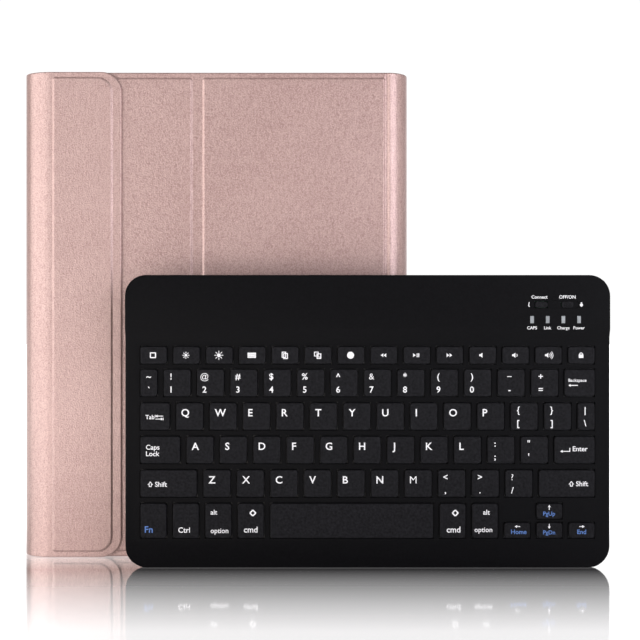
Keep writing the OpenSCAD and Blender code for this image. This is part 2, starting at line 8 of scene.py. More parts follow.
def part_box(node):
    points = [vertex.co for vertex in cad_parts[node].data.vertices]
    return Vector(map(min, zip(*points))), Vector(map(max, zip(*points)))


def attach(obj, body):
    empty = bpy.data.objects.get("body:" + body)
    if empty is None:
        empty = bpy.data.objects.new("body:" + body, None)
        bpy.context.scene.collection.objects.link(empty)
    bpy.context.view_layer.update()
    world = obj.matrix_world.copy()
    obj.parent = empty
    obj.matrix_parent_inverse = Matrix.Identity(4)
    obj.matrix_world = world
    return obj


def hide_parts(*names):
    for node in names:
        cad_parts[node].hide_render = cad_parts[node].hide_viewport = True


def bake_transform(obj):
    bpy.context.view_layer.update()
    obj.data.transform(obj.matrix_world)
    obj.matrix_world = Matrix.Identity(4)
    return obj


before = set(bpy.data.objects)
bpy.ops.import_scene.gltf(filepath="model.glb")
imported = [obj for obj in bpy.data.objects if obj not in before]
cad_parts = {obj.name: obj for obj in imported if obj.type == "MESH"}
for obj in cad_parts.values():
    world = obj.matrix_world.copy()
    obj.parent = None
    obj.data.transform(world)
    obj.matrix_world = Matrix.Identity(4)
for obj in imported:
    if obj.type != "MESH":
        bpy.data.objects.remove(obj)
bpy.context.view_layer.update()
mm = 0.001
print("stage: frame loaded,", len(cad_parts), "nodes")


def linear(hexColour):
    # sRGB hex to the linear values that Blender works in
    parts = [int(hexColour[i:i + 2], 16) / 255 for i in (1, 3, 5)]
    return [p / 12.92 if p <= 0.04045 else ((p + 0.055) / 1.055) ** 2.4 for p in parts] + [1.0]


def addNode(tree, kind, settings=None, links=None):
    node = tree.nodes.new(kind)
    for key, value in (settings or {}).items():
        if isinstance(key, int) or key in node.inputs:
            node.inputs[key].default_value = value
        else:
            setattr(node, key, value)
    for key, source in (links or {}).items():
        tree.links.new(source, node.inputs[key])
    return node


def addObject(name, mesh):
    piece = bpy.data.objects.new(name, mesh)
    bpy.context.scene.collection.objects.link(piece)
    return piece


def plainMesh(name, bm):
    mesh = bpy.data.meshes.new(name)
    bm.to_mesh(mesh)
    bm.free()
    return mesh


def meshFrom(name, bm, sharpDegrees=40, outward=True):
    # merges doubles, turns the faces outwards and smooths what is not a real edge
    bmesh.ops.remove_doubles(bm, verts=bm.verts, dist=2e-6)
    if outward:
        bmesh.ops.recalc_face_normals(bm, faces=bm.faces)
    mesh = plainMesh(name, bm)
    mesh.shade_smooth()
    mesh.set_sharp_from_angle(angle=math.radians(sharpDegrees))
    return mesh


def evaluated(piece):
    graph = bpy.context.evaluated_depsgraph_get()
    return bpy.data.meshes.new_from_object(piece.evaluated_get(graph))


def bakeModifiers(piece):
    # the evaluated mesh replaces the piece's own, and no modifier is left
    mesh = evaluated(piece)
    piece.modifiers.clear()
    piece.data = mesh
    return piece


def repeatTree(name, slot, sockets):
    # copies the given shape along a line or onto the points of an object, as real geometry
    tree = bpy.data.node_groups.new(name, "GeometryNodeTree")
    tree.interface.new_socket(name="Geometry", in_out="INPUT", socket_type="NodeSocketGeometry")
    keys = [tree.interface.new_socket(name=label, in_out="INPUT", socket_type=kind).identifier
            for label, kind in sockets.items()]
    tree.interface.new_socket(name="Geometry", in_out="OUTPUT", socket_type="NodeSocketGeometry")
    given = addNode(tree, "NodeGroupInput")
    if "Places" in sockets:
        info = addNode(tree, "GeometryNodeObjectInfo", {}, {"Object": given.outputs["Places"]})
        points = info.outputs["Geometry"]
    else:
        offset = addNode(tree, "ShaderNodeCombineXYZ", {}, {"X": given.outputs["Pitch"]})
        line = addNode(tree, "GeometryNodeMeshLine", {},
                       {"Count": given.outputs["Count"], "Offset": offset.outputs[0]})
        points = line.outputs["Mesh"]
    copies = addNode(tree, "GeometryNodeInstanceOnPoints", {},
                     {"Points": points, "Instance": given.outputs["Geometry"]})
    real = addNode(tree, "GeometryNodeRealizeInstances", {}, {"Geometry": copies.outputs["Instances"]})
    painted = addNode(tree, "GeometryNodeSetMaterial", {}, {"Geometry": real.outputs["Geometry"]})
    painted.inputs["Material"].default_value = finishes[slot]
    addNode(tree, "NodeGroupOutput", {}, {"Geometry": painted.outputs["Geometry"]})
    return tree, keys


def repeated(name, mesh, tree, keys, values):
    # the inputs are set by identifier, before the tree is first evaluated
    piece = addObject(name, mesh)
    repeat = piece.modifiers.new("repeat", "NODES")
    repeat.node_group = tree
    for socket, value in zip(keys, values):
        repeat[socket] = value
    return bakeModifiers(piece)


def fill(piece, material):
    piece.data.materials.clear()
    piece.data.materials.append(material)
    return piece


def smoothStep(t):
    t = min(1.0, max(0.0, t))
    return t * t * (3 - 2 * t)


def surface(name, colour, roughness, metallic=0.0, ior=1.5):
    material = bpy.data.materials.new(name)
    material.use_nodes = True
    tree = material.node_tree
    shader = tree.nodes["Principled BSDF"]
    shader.inputs["Base Color"].default_value = linear(colour)
    shader.inputs["Roughness"].default_value = roughness
    shader.inputs["Metallic"].default_value = metallic
    shader.inputs["IOR"].default_value = ior
    place = addNode(tree, "ShaderNodeTexCoord").outputs["Object"]
    return material, tree, shader, place


def dress(tree, shader, tone, colours, ramp, gloss, roughness, height, depth, strength):
    # colours from one value, gloss from another, relief from a third
    shades = addNode(tree, "ShaderNodeValToRGB", {}, {"Fac": tone})
    for element, position, colour in zip(shades.color_ramp.elements, ramp, colours):
        element.position = position
        element.color = linear(colour)
    tree.links.new(shades.outputs["Color"], shader.inputs["Base Color"])
    if roughness[0] != roughness[1]:
        spread = addNode(tree, "ShaderNodeMapRange", {"To Min": roughness[0], "To Max": roughness[1]},
                         {"Value": gloss})
        tree.links.new(spread.outputs["Result"], shader.inputs["Roughness"])
    if depth:
        bump = addNode(tree, "ShaderNodeBump", {"Strength": strength, "Distance": depth}, {"Height": height})
        tree.links.new(bump.outputs["Normal"], shader.inputs["Normal"])


def textured(name, colours, roughness, patch, metallic=0.0, ior=1.5, detail=2.0, ramp=(0.35, 0.65),
             stretch=None, grit=0.0, gritDetail=2.0, gritMix=0.5, depth=0.0, strength=0.5, more=None):
    # two colours in soft patches; a finer grit, or the same patches, drives the gloss and the relief
    material, tree, shader, place = surface(name, colours[0], roughness[0], metallic, ior)
    for socket, value in (more or {}).items():
        shader.inputs[socket].default_value = value
    spread = place
    if stretch:
        spread = addNode(tree, "ShaderNodeMapping", {"Scale": stretch}, {"Vector": place}).outputs["Vector"]
    blotch = addNode(tree, "ShaderNodeTexNoise", {"Scale": 1 / patch, "Detail": detail}, {"Vector": spread})
    fine = blotch
    if grit:
        fine = addNode(tree, "ShaderNodeTexNoise",
                       {"Scale": 1 / grit, "Detail": gritDetail, "Roughness": gritMix}, {"Vector": place})
    dress(tree, shader, blotch.outputs["Fac"], colours, ramp, fine.outputs["Fac"], roughness,
          fine.outputs["Fac"], depth, strength)
    return material


leather = {
    "base": "#A98882",
    "light": "#D2B4AD",
    "grain": 0.62 * mm,      # pebble width
    "relief": 0.12 * mm,
    "thread": 1.1 * mm,      # pitch of the faint up-and-down texture of the cloth backing
    "patch": 45 * mm,
    "roughness": 0.32,
    "metallic": 0.33,
    "coat": 0.35,
}


def pearlLeather():
    # grained polyurethane leather with pearl pigment: satin, with a broad pale highlight on every curve
    material, tree, shader, place = surface(
        "pearl_pu_leather_embossed", leather["base"], leather["roughness"], leather["metallic"], 1.48)
    shader.inputs["Specular IOR Level"].default_value = 0.8
    shader.inputs["Coat Weight"].default_value = leather["coat"]
    shader.inputs["Coat Roughness"].default_value = leather["roughness"] + 0.01
    pebble = addNode(tree, "ShaderNodeTexVoronoi", {"Scale": 1 / leather["grain"], "feature": "SMOOTH_F1"},
                     {"Vector": place})
    stretch = addNode(tree, "ShaderNodeMapping", {"Scale": (1, 1, 0.22)}, {"Vector": place})
    # pebbles, then finer grain, cloth threads and wide patches added to them
    sums, values = [pebble.outputs["Distance"]], []
    for scale, detail, where, share in ((2.2 / leather["grain"], 3.0, place, 0.6),
                                        (1 / leather["thread"], 1.0, stretch.outputs["Vector"], 0.5),
                                        (1 / leather["patch"], 1.0, place, 0.3)):
        noise = addNode(tree, "ShaderNodeTexNoise", {"Scale": scale, "Detail": detail}, {"Vector": where})
        values.append(noise.outputs["Fac"])
        total = addNode(tree, "ShaderNodeMath", {"operation": "MULTIPLY_ADD", 1: share},
                        {0: values[-1], 2: sums[-1]})
        sums.append(total.outputs["Value"])
    spread = addNode(tree, "ShaderNodeMapRange", {"From Min": 0.7, "From Max": 1.5}, {"Value": sums[3]})
    dress(tree, shader, spread.outputs["Result"], (leather["light"], leather["base"]), (0.0, 1.0), values[0],
          (leather["roughness"] - 0.05, leather["roughness"] + 0.07), sums[2], leather["relief"], 0.8)
    return material


def solderMask():
    # green mask over copper tracks, which show as slightly raised lighter lines
    material, tree, shader, place = surface("fr4_solder_mask", "#1F5637", 0.3, 0.0, 1.55)
    track = addNode(tree, "ShaderNodeTexBrick",
                    {"Scale": 1 / (4 * mm), "Mortar Size": 0.05, "Color1": linear("#1F5637"),
                     "Color2": linear("#235F3D"), "Mortar": linear("#3B7E55")}, {"Vector": place})
    bump = addNode(tree, "ShaderNodeBump", {"Strength": 0.6, "Distance": 0.03 * mm},
                   {"Height": track.outputs["Fac"]})
    tree.links.new(track.outputs["Color"], shader.inputs["Base Color"])
    tree.links.new(bump.outputs["Normal"], shader.inputs["Normal"])
    return material


# what rolled steel, spark-eroded plastic and small smooth mouldings share
rolled = {"metallic": 1.0, "stretch": (0.02, 1, 1), "detail": 3.0, "depth": 0.01 * mm}
eroded = {"patch": 1.2 * mm, "detail": 5.0, "ramp": (0.3, 0.75), "ior": 1.53, "gritDetail": 3.0,
          "gritMix": 0.6, "strength": 0.6, "more": {"Specular IOR Level": 0.06}}
smooth = {"patch": 5 * mm, "depth": 0.012 * mm}

finishes = {
    "leather": pearlLeather(),
    # brushed cloth: no gloss, a pale fuzz at grazing angles
    "lining": textured("microfibre_brushed", ("#9C837F", "#B79E99"), (0.92, 0.92), 1.4 * mm, detail=4.0,
                       depth=0.08 * mm, more={"Sheen Weight": 0.35, "Sheen Roughness": 0.5}),
    # dull paper board, flecked with fibres
    "board": textured("greyboard_pressed", ("#A4977B", "#C9BC9B"), (0.9, 0.9), 0.8 * mm, detail=5.0,
                      stretch=(0.3, 1, 1), depth=0.04 * mm, strength=0.6),
    # near-black sheet, so that the gaps round the keys stay dark
    "plate_steel": textured("steel_sheet_blackened", ("#242527", "#37383B"), (0.42, 0.62), 0.4 * mm,
                            **rolled),
    # bright, faintly yellow, with an orange-peel surface
    "magnet": textured("nickel_plated", ("#B5B1A4", "#BDB9AC"), (0.2, 0.38), 1.5 * mm, metallic=1.0,
                       depth=0.02 * mm),
    # milky film, slightly wavy
    "adhesive": textured("acrylic_adhesive_film", ("#CFC6B8", "#E4DDD2"), (0.4, 0.4), 6 * mm, ior=1.47,
                         depth=0.1 * mm, strength=0.4),
    # flexible plastic, fine and matt, tinted like the leather
    "tray": textured("tpu_moulded_matt", ("#C39E95", "#CFACA3"), (0.46, 0.64), 40 * mm, grit=0.5 * mm,
                     gritDetail=3.0, depth=0.03 * mm,
                     more={"Subsurface Weight": 0.08, "Subsurface Radius": (1.2 * mm, 0.6 * mm, 0.5 * mm)}),
    # a fine even grit that spreads every highlight
    "keyboard_shell": textured("abs_spark_eroded_black", ("#08080A", "#0E0E10"), (0.38, 0.5),
                               grit=0.35 * mm, depth=0.02 * mm, **eroded),
    # a little lighter and duller than the covers, which sets the keys off
    "key_plastic": textured("abs_keycap_matt_black", ("#121214", "#242427"), (0.46, 0.6),
                            grit=0.3 * mm, depth=0.025 * mm, **eroded),
    "membrane": textured("pet_film_printed_black", ("#161718", "#202123"), (0.34, 0.48), ior=1.57,
                         grit=0.4 * mm, **smooth),               # thin satin film
    "silicone": textured("silicone_translucent", ("#D5D8D4", "#E6E8E4"), (0.29, 0.43), ior=1.41,
                         grit=0.6 * mm, more={"Subsurface Weight": 0.3, "Subsurface Radius": (mm, mm, mm)},
                         **smooth),                              # light passes a little way in
    "scissor_plastic": textured("acetal_moulded_black", ("#1A1A1B", "#252526"), (0.36, 0.5), ior=1.48,
                                grit=0.4 * mm, **smooth),        # waxy and dark
    "circuit": solderMask(),
    # crinkled foil round a flat cell
    "battery": textured("aluminium_laminate_foil", ("#B9BCC0", "#C5C8CC"), (0.24, 0.42), 7 * mm,
                        metallic=1.0, detail=4.0, depth=0.25 * mm),
    # fine lines along the rolling direction break up the reflection
    "socket_steel": textured("steel_stamped_tinned", ("#A9AAAD", "#C6C7C9"), (0.22, 0.42), 0.3 * mm,
                             **rolled),
    # frosted, light passes a little way in
    "lens": textured("acrylic_diffusing", ("#8E9396", "#A2A7AA"), (0.24, 0.38), ior=1.49, grit=0.5 * mm,
                     more={"Subsurface Weight": 0.2, "Subsurface Radius": (mm, mm, mm)}, **smooth),
    # oily black
    "screw": textured("steel_black_oxide", ("#303134", "#3F4043"), (0.34, 0.54), 0.3 * mm, **rolled),
    "foot_rubber": textured("rubber_moulded_matt", ("#1C1C1D", "#242425"), (0.74, 0.88), ior=1.52,
                            grit=0.3 * mm, **smooth),            # no shine at all
}
# pad-printed ink: flat, very slightly uneven in density
inks = {
    "white": textured("ink_white_printed", ("#D8DADB", "#F4F5F6"), (0.55, 0.55), 0.4 * mm, detail=3.0,
                      ramp=(0.2, 0.5)),
    "blue": textured("ink_blue_printed", ("#3C5E9E", "#5880C4"), (0.55, 0.55), 0.4 * mm, detail=3.0,
                     ramp=(0.2, 0.5)),
}
print("stage: materials made,", len(finishes) + len(inks))

# places of the folio's pieces, from the frame

spineLow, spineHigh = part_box("spine_skin")
stripLow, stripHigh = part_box("strip_skin")
legLow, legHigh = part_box("leg_skin")
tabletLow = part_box("tablet_panel_skin")[0]
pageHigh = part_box("page_skin")[1]
flapLow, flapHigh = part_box("flap_skin")
trayLow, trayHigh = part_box("tablet_tray")
height = spineHigh.z

folio = {
    "emboss": 0.6 * mm,        # height of a board's outline over the margins
    "slope": 1.2 * mm,         # width of the pressed step
    "boardInset": 0.6 * mm,    # leather between a board's edge and its pressed outline
    "padCorner": 1.6 * mm,     # corner radius of a pressed outline
    "flapCorner": 11 * mm,
    "flapMargin": 2.7 * mm,    # leather beyond the flap's board and lining
    "creaseWidth": 0.7 * mm,
    "creaseDepth": 0.15 * mm,
    "bend": 0.9 * mm,          # half of the length over which a sheet bends
    "rimBand": 24 * mm,        # band along the top and bottom edge that has a finer mesh
    "lining": 0.4 * mm,
    "liningInset": 1.35 * mm,
    "cameraInset": 14 * mm,    # camera window, in from the tray's top left corner
    "cameraRadius": 5.5 * mm,
}

frontY = legLow.y + folio["emboss"]        # margins of the front panels
backY = pageHigh.y - folio["emboss"]
flapY = flapLow.y + folio["emboss"]
spineR = (spineHigh.y - spineLow.y) / 2
spineC = Vector((spineLow.x, spineLow.y + spineR))
stripR = (stripHigh.y - stripLow.y) / 2
stripC = Vector((stripHigh.x, stripLow.y + stripR))
panelT = legHigh.y - frontY
flapT = flapHigh.y - flapY


def straight(x0, x1, y, outward, thick):
    # stretch of the folio's outline: length, then place and outward direction at a distance along it
    way = 1 if x1 > x0 else -1
    return abs(x1 - x0), lambda s: (Vector((x0 + way * s, y)), Vector((0, outward)), thick)


def turning(centre, radius, start, end, thick0, thick1):
    span = math.radians(end - start)

    def at(s):
        angle = math.radians(start) + s / radius * math.copysign(1, span)
        out = Vector((math.cos(angle), math.sin(angle)))
        return centre + radius * out, out, thick0 + (thick1 - thick0) * smoothStep(s / (6 * mm))
    return abs(span) * radius, at


def rounding(centre, wide, deep, thick):
    # front quarter of the closure strip: a flatter curve than a circle, from its far left to the crease
    steps = 48
    points = [Vector((centre.x - wide * math.cos(math.pi / 2 * i / steps),
                      centre.y - deep * math.sin(math.pi / 2 * i / steps))) for i in range(steps + 1)]
    lengths = [0.0]
    for a, b in zip(points, points[1:]):
        lengths.append(lengths[-1] + (b - a).length)

    def at(s):
        i = max(1, next((k for k in range(1, steps + 1) if lengths[k] >= s), steps))
        t = (i - 1 + (s - lengths[i - 1]) / (lengths[i] - lengths[i - 1])) / steps * math.pi / 2
        out = Vector((-deep * math.cos(t), -wide * math.sin(t))).normalized()
        return Vector((centre.x - wide * math.cos(t), centre.y - deep * math.sin(t))), out, thick
    return lengths[-1], at


def pathOf(*stretches):
    total = sum(length for length, at in stretches)

    def at(s):
        for length, place in stretches:
            if s <= length + 1e-9:
                return place(max(0.0, s))
            s -= length
        return stretches[-1][1](stretches[-1][0])
    return total, at


def boxDistance(s, z, low, high, radii):
    # how far inside a rounded rectangle a point lies, negative outside; its two ends have their own radius
    radius = radii[s > (low[0] + high[0]) / 2]
    ds = abs(s - (low[0] + high[0]) / 2) - (high[0] - low[0]) / 2 + radius
    dz = abs(z - (low[1] + high[1]) / 2) - (high[1] - low[1]) / 2 + radius
    return radius - math.hypot(max(ds, 0), max(dz, 0)) - min(max(ds, dz), 0)


def around(place, offsets):
    return [place + o for o in offsets] + [place - o for o in offsets]


def sortedApart(values, low, high, gap=0.02 * mm):
    # the values between the two limits, without near repeats
    apart = [low]
    for v in sorted(v for v in values if low + gap < v < high - gap):
        if v - apart[-1] > gap:
            apart.append(v)
    return apart + [high]


def makeSheet(name, path, pads, wraps, free=(False, False), corner=0.0, inset=0.0, creases=(), step=6 * mm):
    # a closed sheet along a path: an outer face with pressed boards, an inner face and round edges
    total, at = path
    beyond = 1.0                               # a joined end counts as this far outside the sheet
    left = 0.0 if free[0] else -beyond
    right = total if free[1] else total + beyond
    outline = ((left, inset), (right, height - inset))
    halfThick = at(total / 2)[2] / 2
    edge = [halfThick * (1 - math.cos(math.radians(a))) for a in (8, 18, 30, 45, 60, 75, 90)]
    fine = [i * folio["slope"] / 5 for i in range(-2, 8)] + [2.2 * mm, 3.2 * mm, 5 * mm, 8 * mm, 12 * mm]

    stations = [i * total / max(2, round(total / step)) for i in range(max(2, round(total / step)))]
    for low, high, (near, far) in pads:
        stations += [low[0] + f for f in fine] + [high[0] - f for f in fine]
        stations += [high[0] - far + far * math.sin(math.radians(a)) for a in range(10, 90, 10)]
    for start, end, fade in wraps:
        stations += around(start, fine) + around(end, fine)
        count = max(2, round((end - start) / (0.9 * mm)))
        stations += [start + (end - start) * i / count for i in range(count + 1)]
    for place in creases:
        stations += around(place, [i * 0.25 * mm for i in range(8)])
    if free[0]:
        stations += edge
    if free[1]:
        stations += [total - e for e in edge]
        stations += [total - corner * (1 - math.sin(math.radians(a))) for a in range(6, 90, 6) if corner]
    columns = sortedApart(stations, 0.0, total)

    rowSteps = edge + [inset + f for f in fine if f > 0]
    for low, high, (near, far) in pads:
        rowSteps += [low[1] - inset + f for f in fine]
        rowSteps += [low[1] - inset + far * (1 - math.cos(math.radians(a))) for a in range(10, 90, 10)]
    band = folio["rimBand"]
    rowSteps = [r for r in sortedApart(rowSteps, 0.0, band) if r < band]
    middle = [band + (height / 2 - band) * i / 14 for i in range(15)]

    def rise(s, z):
        # height over the margins, from the pressed boards and the wraps
        up = max([smoothStep(boxDistance(s, z, *pad) / folio["slope"]) for pad in pads] + [0])
        for start, end, fade in wraps:
            up = max(up, smoothStep((s - start) / folio["slope"]) * smoothStep((end - s) / fade))
        dip = max([math.exp(-((s - c) / folio["creaseWidth"]) ** 2) for c in creases] + [0])
        return folio["emboss"] * up - folio["creaseDepth"] * dip

    bm = bmesh.new()
    outer, inner = [], []
    for s in columns:
        place, out, thick = at(s)
        top = height - inset
        if corner and free[1] and s > total - corner:
            top -= corner - math.sqrt(max(0.0, corner ** 2 - (s - total + corner) ** 2))
        zs = [r + (height - top) * (1 - r / (height / 2)) for r in rowSteps + middle]
        zs = zs + [height - z for z in reversed(zs[:-1])]
        front, back = [], []
        for z in zs:
            inside = boxDistance(s, z, *outline, (0.0, corner))
            half = thick / 2
            full = math.sqrt(max(0.0, 1 - (1 - min(1.0, max(0.0, inside / half))) ** 2))
            mid = place - out * half
            lift = rise(s, z) if pads or wraps else 0.0
            f = mid + out * (half + lift) * full
            b = mid - out * half * full
            front.append(bm.verts.new((f.x, f.y, z)))
            back.append(bm.verts.new((b.x, b.y, z)))
        outer.append(front)
        inner.append(back)
    for i in range(len(columns) - 1):
        for j in range(len(outer[0]) - 1):
            bm.faces.new((outer[i][j], outer[i + 1][j], outer[i + 1][j + 1], outer[i][j + 1]))
            bm.faces.new((inner[i][j], inner[i][j + 1], inner[i + 1][j + 1], inner[i + 1][j]))
    for i, isFree in ((0, free[0]), (-1, free[1])):
        for j in range(len(outer[0]) - 1):
            if not isFree:
                bm.faces.new((outer[i][j], outer[i][j + 1], inner[i][j + 1], inner[i][j]))
    bmesh.ops.remove_doubles(bm, verts=bm.verts, dist=3e-6)
    bmesh.ops.dissolve_degenerate(bm, edges=bm.edges, dist=1e-6)
    return addObject(name, meshFrom(name, bm, 50))


def padOf(boardNode, startX, way, corner=None):
    # a board's pressed outline, as distances along a path that starts at startX
    low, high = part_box(boardNode)
    grow = folio["boardInset"]
    ends = sorted((way * (low.x - grow - startX), way * (high.x + grow - startX)))
    near = folio["padCorner"]
    return (ends[0], low.z - grow), (ends[1], high.z + grow), (near, corner or near)


def cutCamera(piece):
    # round window with a slightly flared rim at both faces
    centre = Vector((trayLow.x + folio["cameraInset"], 0, trayHigh.z - folio["cameraInset"]))
    low, high = (min(v.co.y for v in piece.data.vertices), max(v.co.y for v in piece.data.vertices))
    r, flare = folio["cameraRadius"], 0.3 * mm
    bm = bmesh.new()
    rings = []
    wide = r + flare + mm
    for y, radius in ((low - mm, wide), (low + 0.6 * mm, r), (high - flare, r), (high + mm, wide)):
        rings.append([bm.verts.new((centre.x + radius * math.cos(a), y, centre.z + radius * math.sin(a)))
                      for a in (math.tau * i / 48 for i in range(48))])
    for ringA, ringB in zip(rings, rings[1:]):
        for i in range(48):
            bm.faces.new((ringA[i - 1], ringA[i], ringB[i], ringB[i - 1]))
    bm.faces.new(rings[0])
    bm.faces.new(rings[-1])
    cutter = addObject("cutter", meshFrom("cutter", bm))
    cut = piece.modifiers.new("window", "BOOLEAN")
    cut.object = cutter
    cut.solver = "EXACT"
    bakeModifiers(piece)
    bpy.data.objects.remove(cutter)
    piece.data.set_sharp_from_angle(angle=math.radians(50))
    return piece


def buildFolio():
    seamX = (legLow.x + legHigh.x) / 2            # hidden joins, midway along the leg panel and the page
    baseSpine, baseStrip = spineR - folio["emboss"], stripR - folio["emboss"]
    quarterSpine = math.pi / 2 * baseSpine
    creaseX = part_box("flap_board")[0].x - folio["boardInset"] - 0.5 * mm
    wide = creaseX - stripLow.x - folio["emboss"]
    stripRound = rounding(Vector((creaseX, stripC.y)), wide, baseStrip, flapT)
    flapRound = folio["flapCorner"] - folio["flapMargin"]
    quarterStrip = stripRound[0]

    paths = {
        "front": pathOf(straight(tabletLow.x, seamX, frontY, -1, panelT)),
        "spine": pathOf(straight(seamX, spineC.x, frontY, -1, panelT),
                        turning(spineC, baseSpine, -90, 0, panelT, panelT)),
        "page": pathOf(turning(spineC, baseSpine, 0, 90, panelT, panelT),
                       straight(spineC.x, seamX, backY, 1, panelT)),
        "strip": pathOf(straight(seamX, stripC.x, backY, 1, panelT),
                        turning(stripC, baseStrip, 90, 180, panelT, flapT)),
        "flap": pathOf(stripRound, straight(creaseX, flapHigh.x, flapY, -1, flapT)),
    }
    legRun, pageRun = spineC.x - seamX, seamX - stripC.x
    groove, edge = 0.2 * mm, folio["slope"]
    sheets = {
        "front": dict(pads=[padOf("tablet_panel_board", tabletLow.x, 1), padOf("leg_board", tabletLow.x, 1)],
                      wraps=[], free=(True, False), creases=[]),
        "spine": dict(pads=[padOf("leg_board", seamX, 1)], wraps=[(legRun + groove, legRun + 1.0, edge)],
                      free=(False, False), creases=[legRun - 0.3 * mm]),
        "page": dict(pads=[shifted(padOf("page_board", spineC.x, -1), quarterSpine)],
                     wraps=[(-1.0, quarterSpine - groove, edge)], free=(False, False),
                     creases=[quarterSpine + 0.3 * mm]),
        "strip": dict(pads=[padOf("page_board", seamX, -1)], wraps=[(pageRun + groove, pageRun + 1.0, edge)],
                      free=(False, False), creases=[pageRun - 0.3 * mm]),
        "flap": dict(pads=[shifted(padOf("flap_board", creaseX, 1, flapRound), quarterStrip)],
                     wraps=[(-1.0, quarterStrip * 0.8, 9 * mm)], free=(False, True),
                     corner=folio["flapCorner"]),
    }
    # the panels that each sheet stands in for: their CAD skin and lining nodes are hidden
    panels = {"front": ["tablet_panel"], "spine": ["leg"], "page": ["spine"], "strip": ["page"],
              "flap": ["strip", "flap"]}
    for kind, values in sheets.items():
        skin = makeSheet("leather_" + kind, paths[kind], **values)
        cloth = makeLining(kind, paths[kind], values)
        for piece, ending, slot in ((skin, "_skin", "leather"), (cloth, "_lining", "lining")):
            nodes = [panel + ending for panel in panels[kind]]
            if kind == "front":
                cutCamera(piece)
            fill(piece, finishes[slot])
            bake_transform(piece)
            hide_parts(*nodes)
    print("stage: folio leather and lining made")


def shifted(pad, distance):
    low, high, radii = pad
    return (low[0] + distance, low[1]), (high[0] + distance, high[1]), radii


def makeLining(kind, path, values):
    # thin cloth on the inner face, set in from every free edge and a hair proud of the leather
    total, at = path
    inset = folio["liningInset"]
    start = inset if values["free"][0] else 0.0
    end = total - (folio["flapMargin"] if values["free"][1] else 0.0)
    proud = 0.06 * mm

    def inner(s):
        place, out, thick = at(s + start)
        return place - out * (thick + proud - folio["lining"]), out, folio["lining"]
    corner = folio["flapCorner"] - folio["flapMargin"] if values["free"][1] else 0.0
    wraps = [(max(0.0, a - start), min(end - start, b - start)) for a, b, fade in values["wraps"]]
    return makeSheet("lining_" + kind, (end - start, inner), [], [], values["free"], corner, inset,
                     [a for a, b in wraps if 0 < a < total] + [b for a, b in wraps if 0 < b < total], 3 * mm)


buildFolio()

# CAD shapes whose edges are rounded, as moulding or pressing leaves them: slot, body, width
rounded = {
    "tablet_tray": ("tray", "tablet_panel", 0.35 * mm),
    "keyboard_top_cover": ("keyboard_shell", "keyboard", 0.55 * mm),
    "keyboard_bottom_cover": ("keyboard_shell", "keyboard", 0.2 * mm),
    "charging_socket": ("socket_steel", "keyboard", 0.1 * mm),
    "power_switch_knob": ("key_plastic", "power_switch_knob", 0.1 * mm),
    "connect_button": ("key_plastic", "connect_button", 0.2 * mm),
    "indicator_lenses": ("lens", "keyboard", 0.12 * mm),
    "battery_cell": ("battery", "keyboard", 0.5 * mm),
}
# shortest edge that a rounding may meet, and how far in from its outline the top cover is rounded
smallest = {"keyboard_top_cover": 0.9 * mm, "keyboard_bottom_cover": 0.9 * mm, "tablet_tray": 0.6 * mm}
outlineWidth = 3 * mm


def roundedCopy(node, slot, body, width):
    # long convex edges are rounded, and edges too short for it stay crisp
    bm = bmesh.new()
    bm.from_mesh(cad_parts[node].data)
    bmesh.ops.remove_doubles(bm, verts=bm.verts, dist=2e-6)
    if node != "keyboard_top_cover":
        bmesh.ops.dissolve_limit(bm, angle_limit=math.radians(0.6), verts=bm.verts, edges=bm.edges)
    weight = bm.edges.layers.float.new("bevel_weight_edge")
    shortest = smallest.get(node, 0.0)
    low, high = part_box(node)

    sharp = math.radians(32)
    crowded = {v for v in bm.verts if shortest
               and any(e.calc_length() < shortest for e in v.link_edges if e.calc_face_angle(0) > sharp)}
    for edge in bm.edges:
        angle = edge.calc_face_angle(0)
        convex = edge.is_convex
        edge.smooth = angle < math.radians(6.2)
        if angle > sharp and convex and not crowded.intersection(edge.verts):
            middle = (edge.verts[0].co + edge.verts[1].co) / 2
            inward = min(middle.x - low.x, high.x - middle.x, middle.z - low.z, high.z - middle.z)
            if node != "keyboard_top_cover" or inward < outlineWidth:
                edge[weight] = 1.0
                edge.smooth = True
    mesh = plainMesh(node, bm)
    for face in mesh.polygons:
        face.use_smooth = True
    piece = addObject(node + "_rounded", mesh)
    edge = piece.modifiers.new("edges", "BEVEL")
    edge.width = width
    edge.segments = 3
    edge.limit_method = "WEIGHT"
    edge.use_clamp_overlap = False
    even = piece.modifiers.new("even", "WEIGHTED_NORMAL")
    even.keep_sharp = True
    bakeModifiers(piece)
    fill(piece, finishes[slot])
    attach(piece, body)
    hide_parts(node)
    return piece


for node, (slot, body, width) in rounded.items():
    roundedCopy(node, slot, body, width)
print("stage: rounded copies made")

# CAD nodes that keep their shape, by material slot
kept = {
    "board": ["leg_board", "tablet_panel_board", "spine_stiffener", "page_board", "flap_board"],
    "plate_steel": ["closure_plates", "key_backplate"],
    "magnet": ["page_magnets", "flap_magnets", "keyboard_magnets"],
    "adhesive": ["tray_adhesive"],
    "membrane": ["membrane_sheet"],
    "circuit": ["circuit_board"],
}
for slot, names in kept.items():
    for name in names:
        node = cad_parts[name]
        if not node.material_slots:
            node.data.materials.append(None)
        for holder in node.material_slots:
            holder.material = finishes[slot]
print("stage: CAD nodes finished")

key = {
    "gap": 3.1 * mm,
    "corner": 1.5 * mm,
    "draft": 0.12 * mm,        # how far the sides lean in
    "bevel": 0.45 * mm,
    "dish": 0.1 * mm,          # depth of the finger hollow
    "skirt": 0.9 * mm,
    "roof": 0.8 * mm,
}


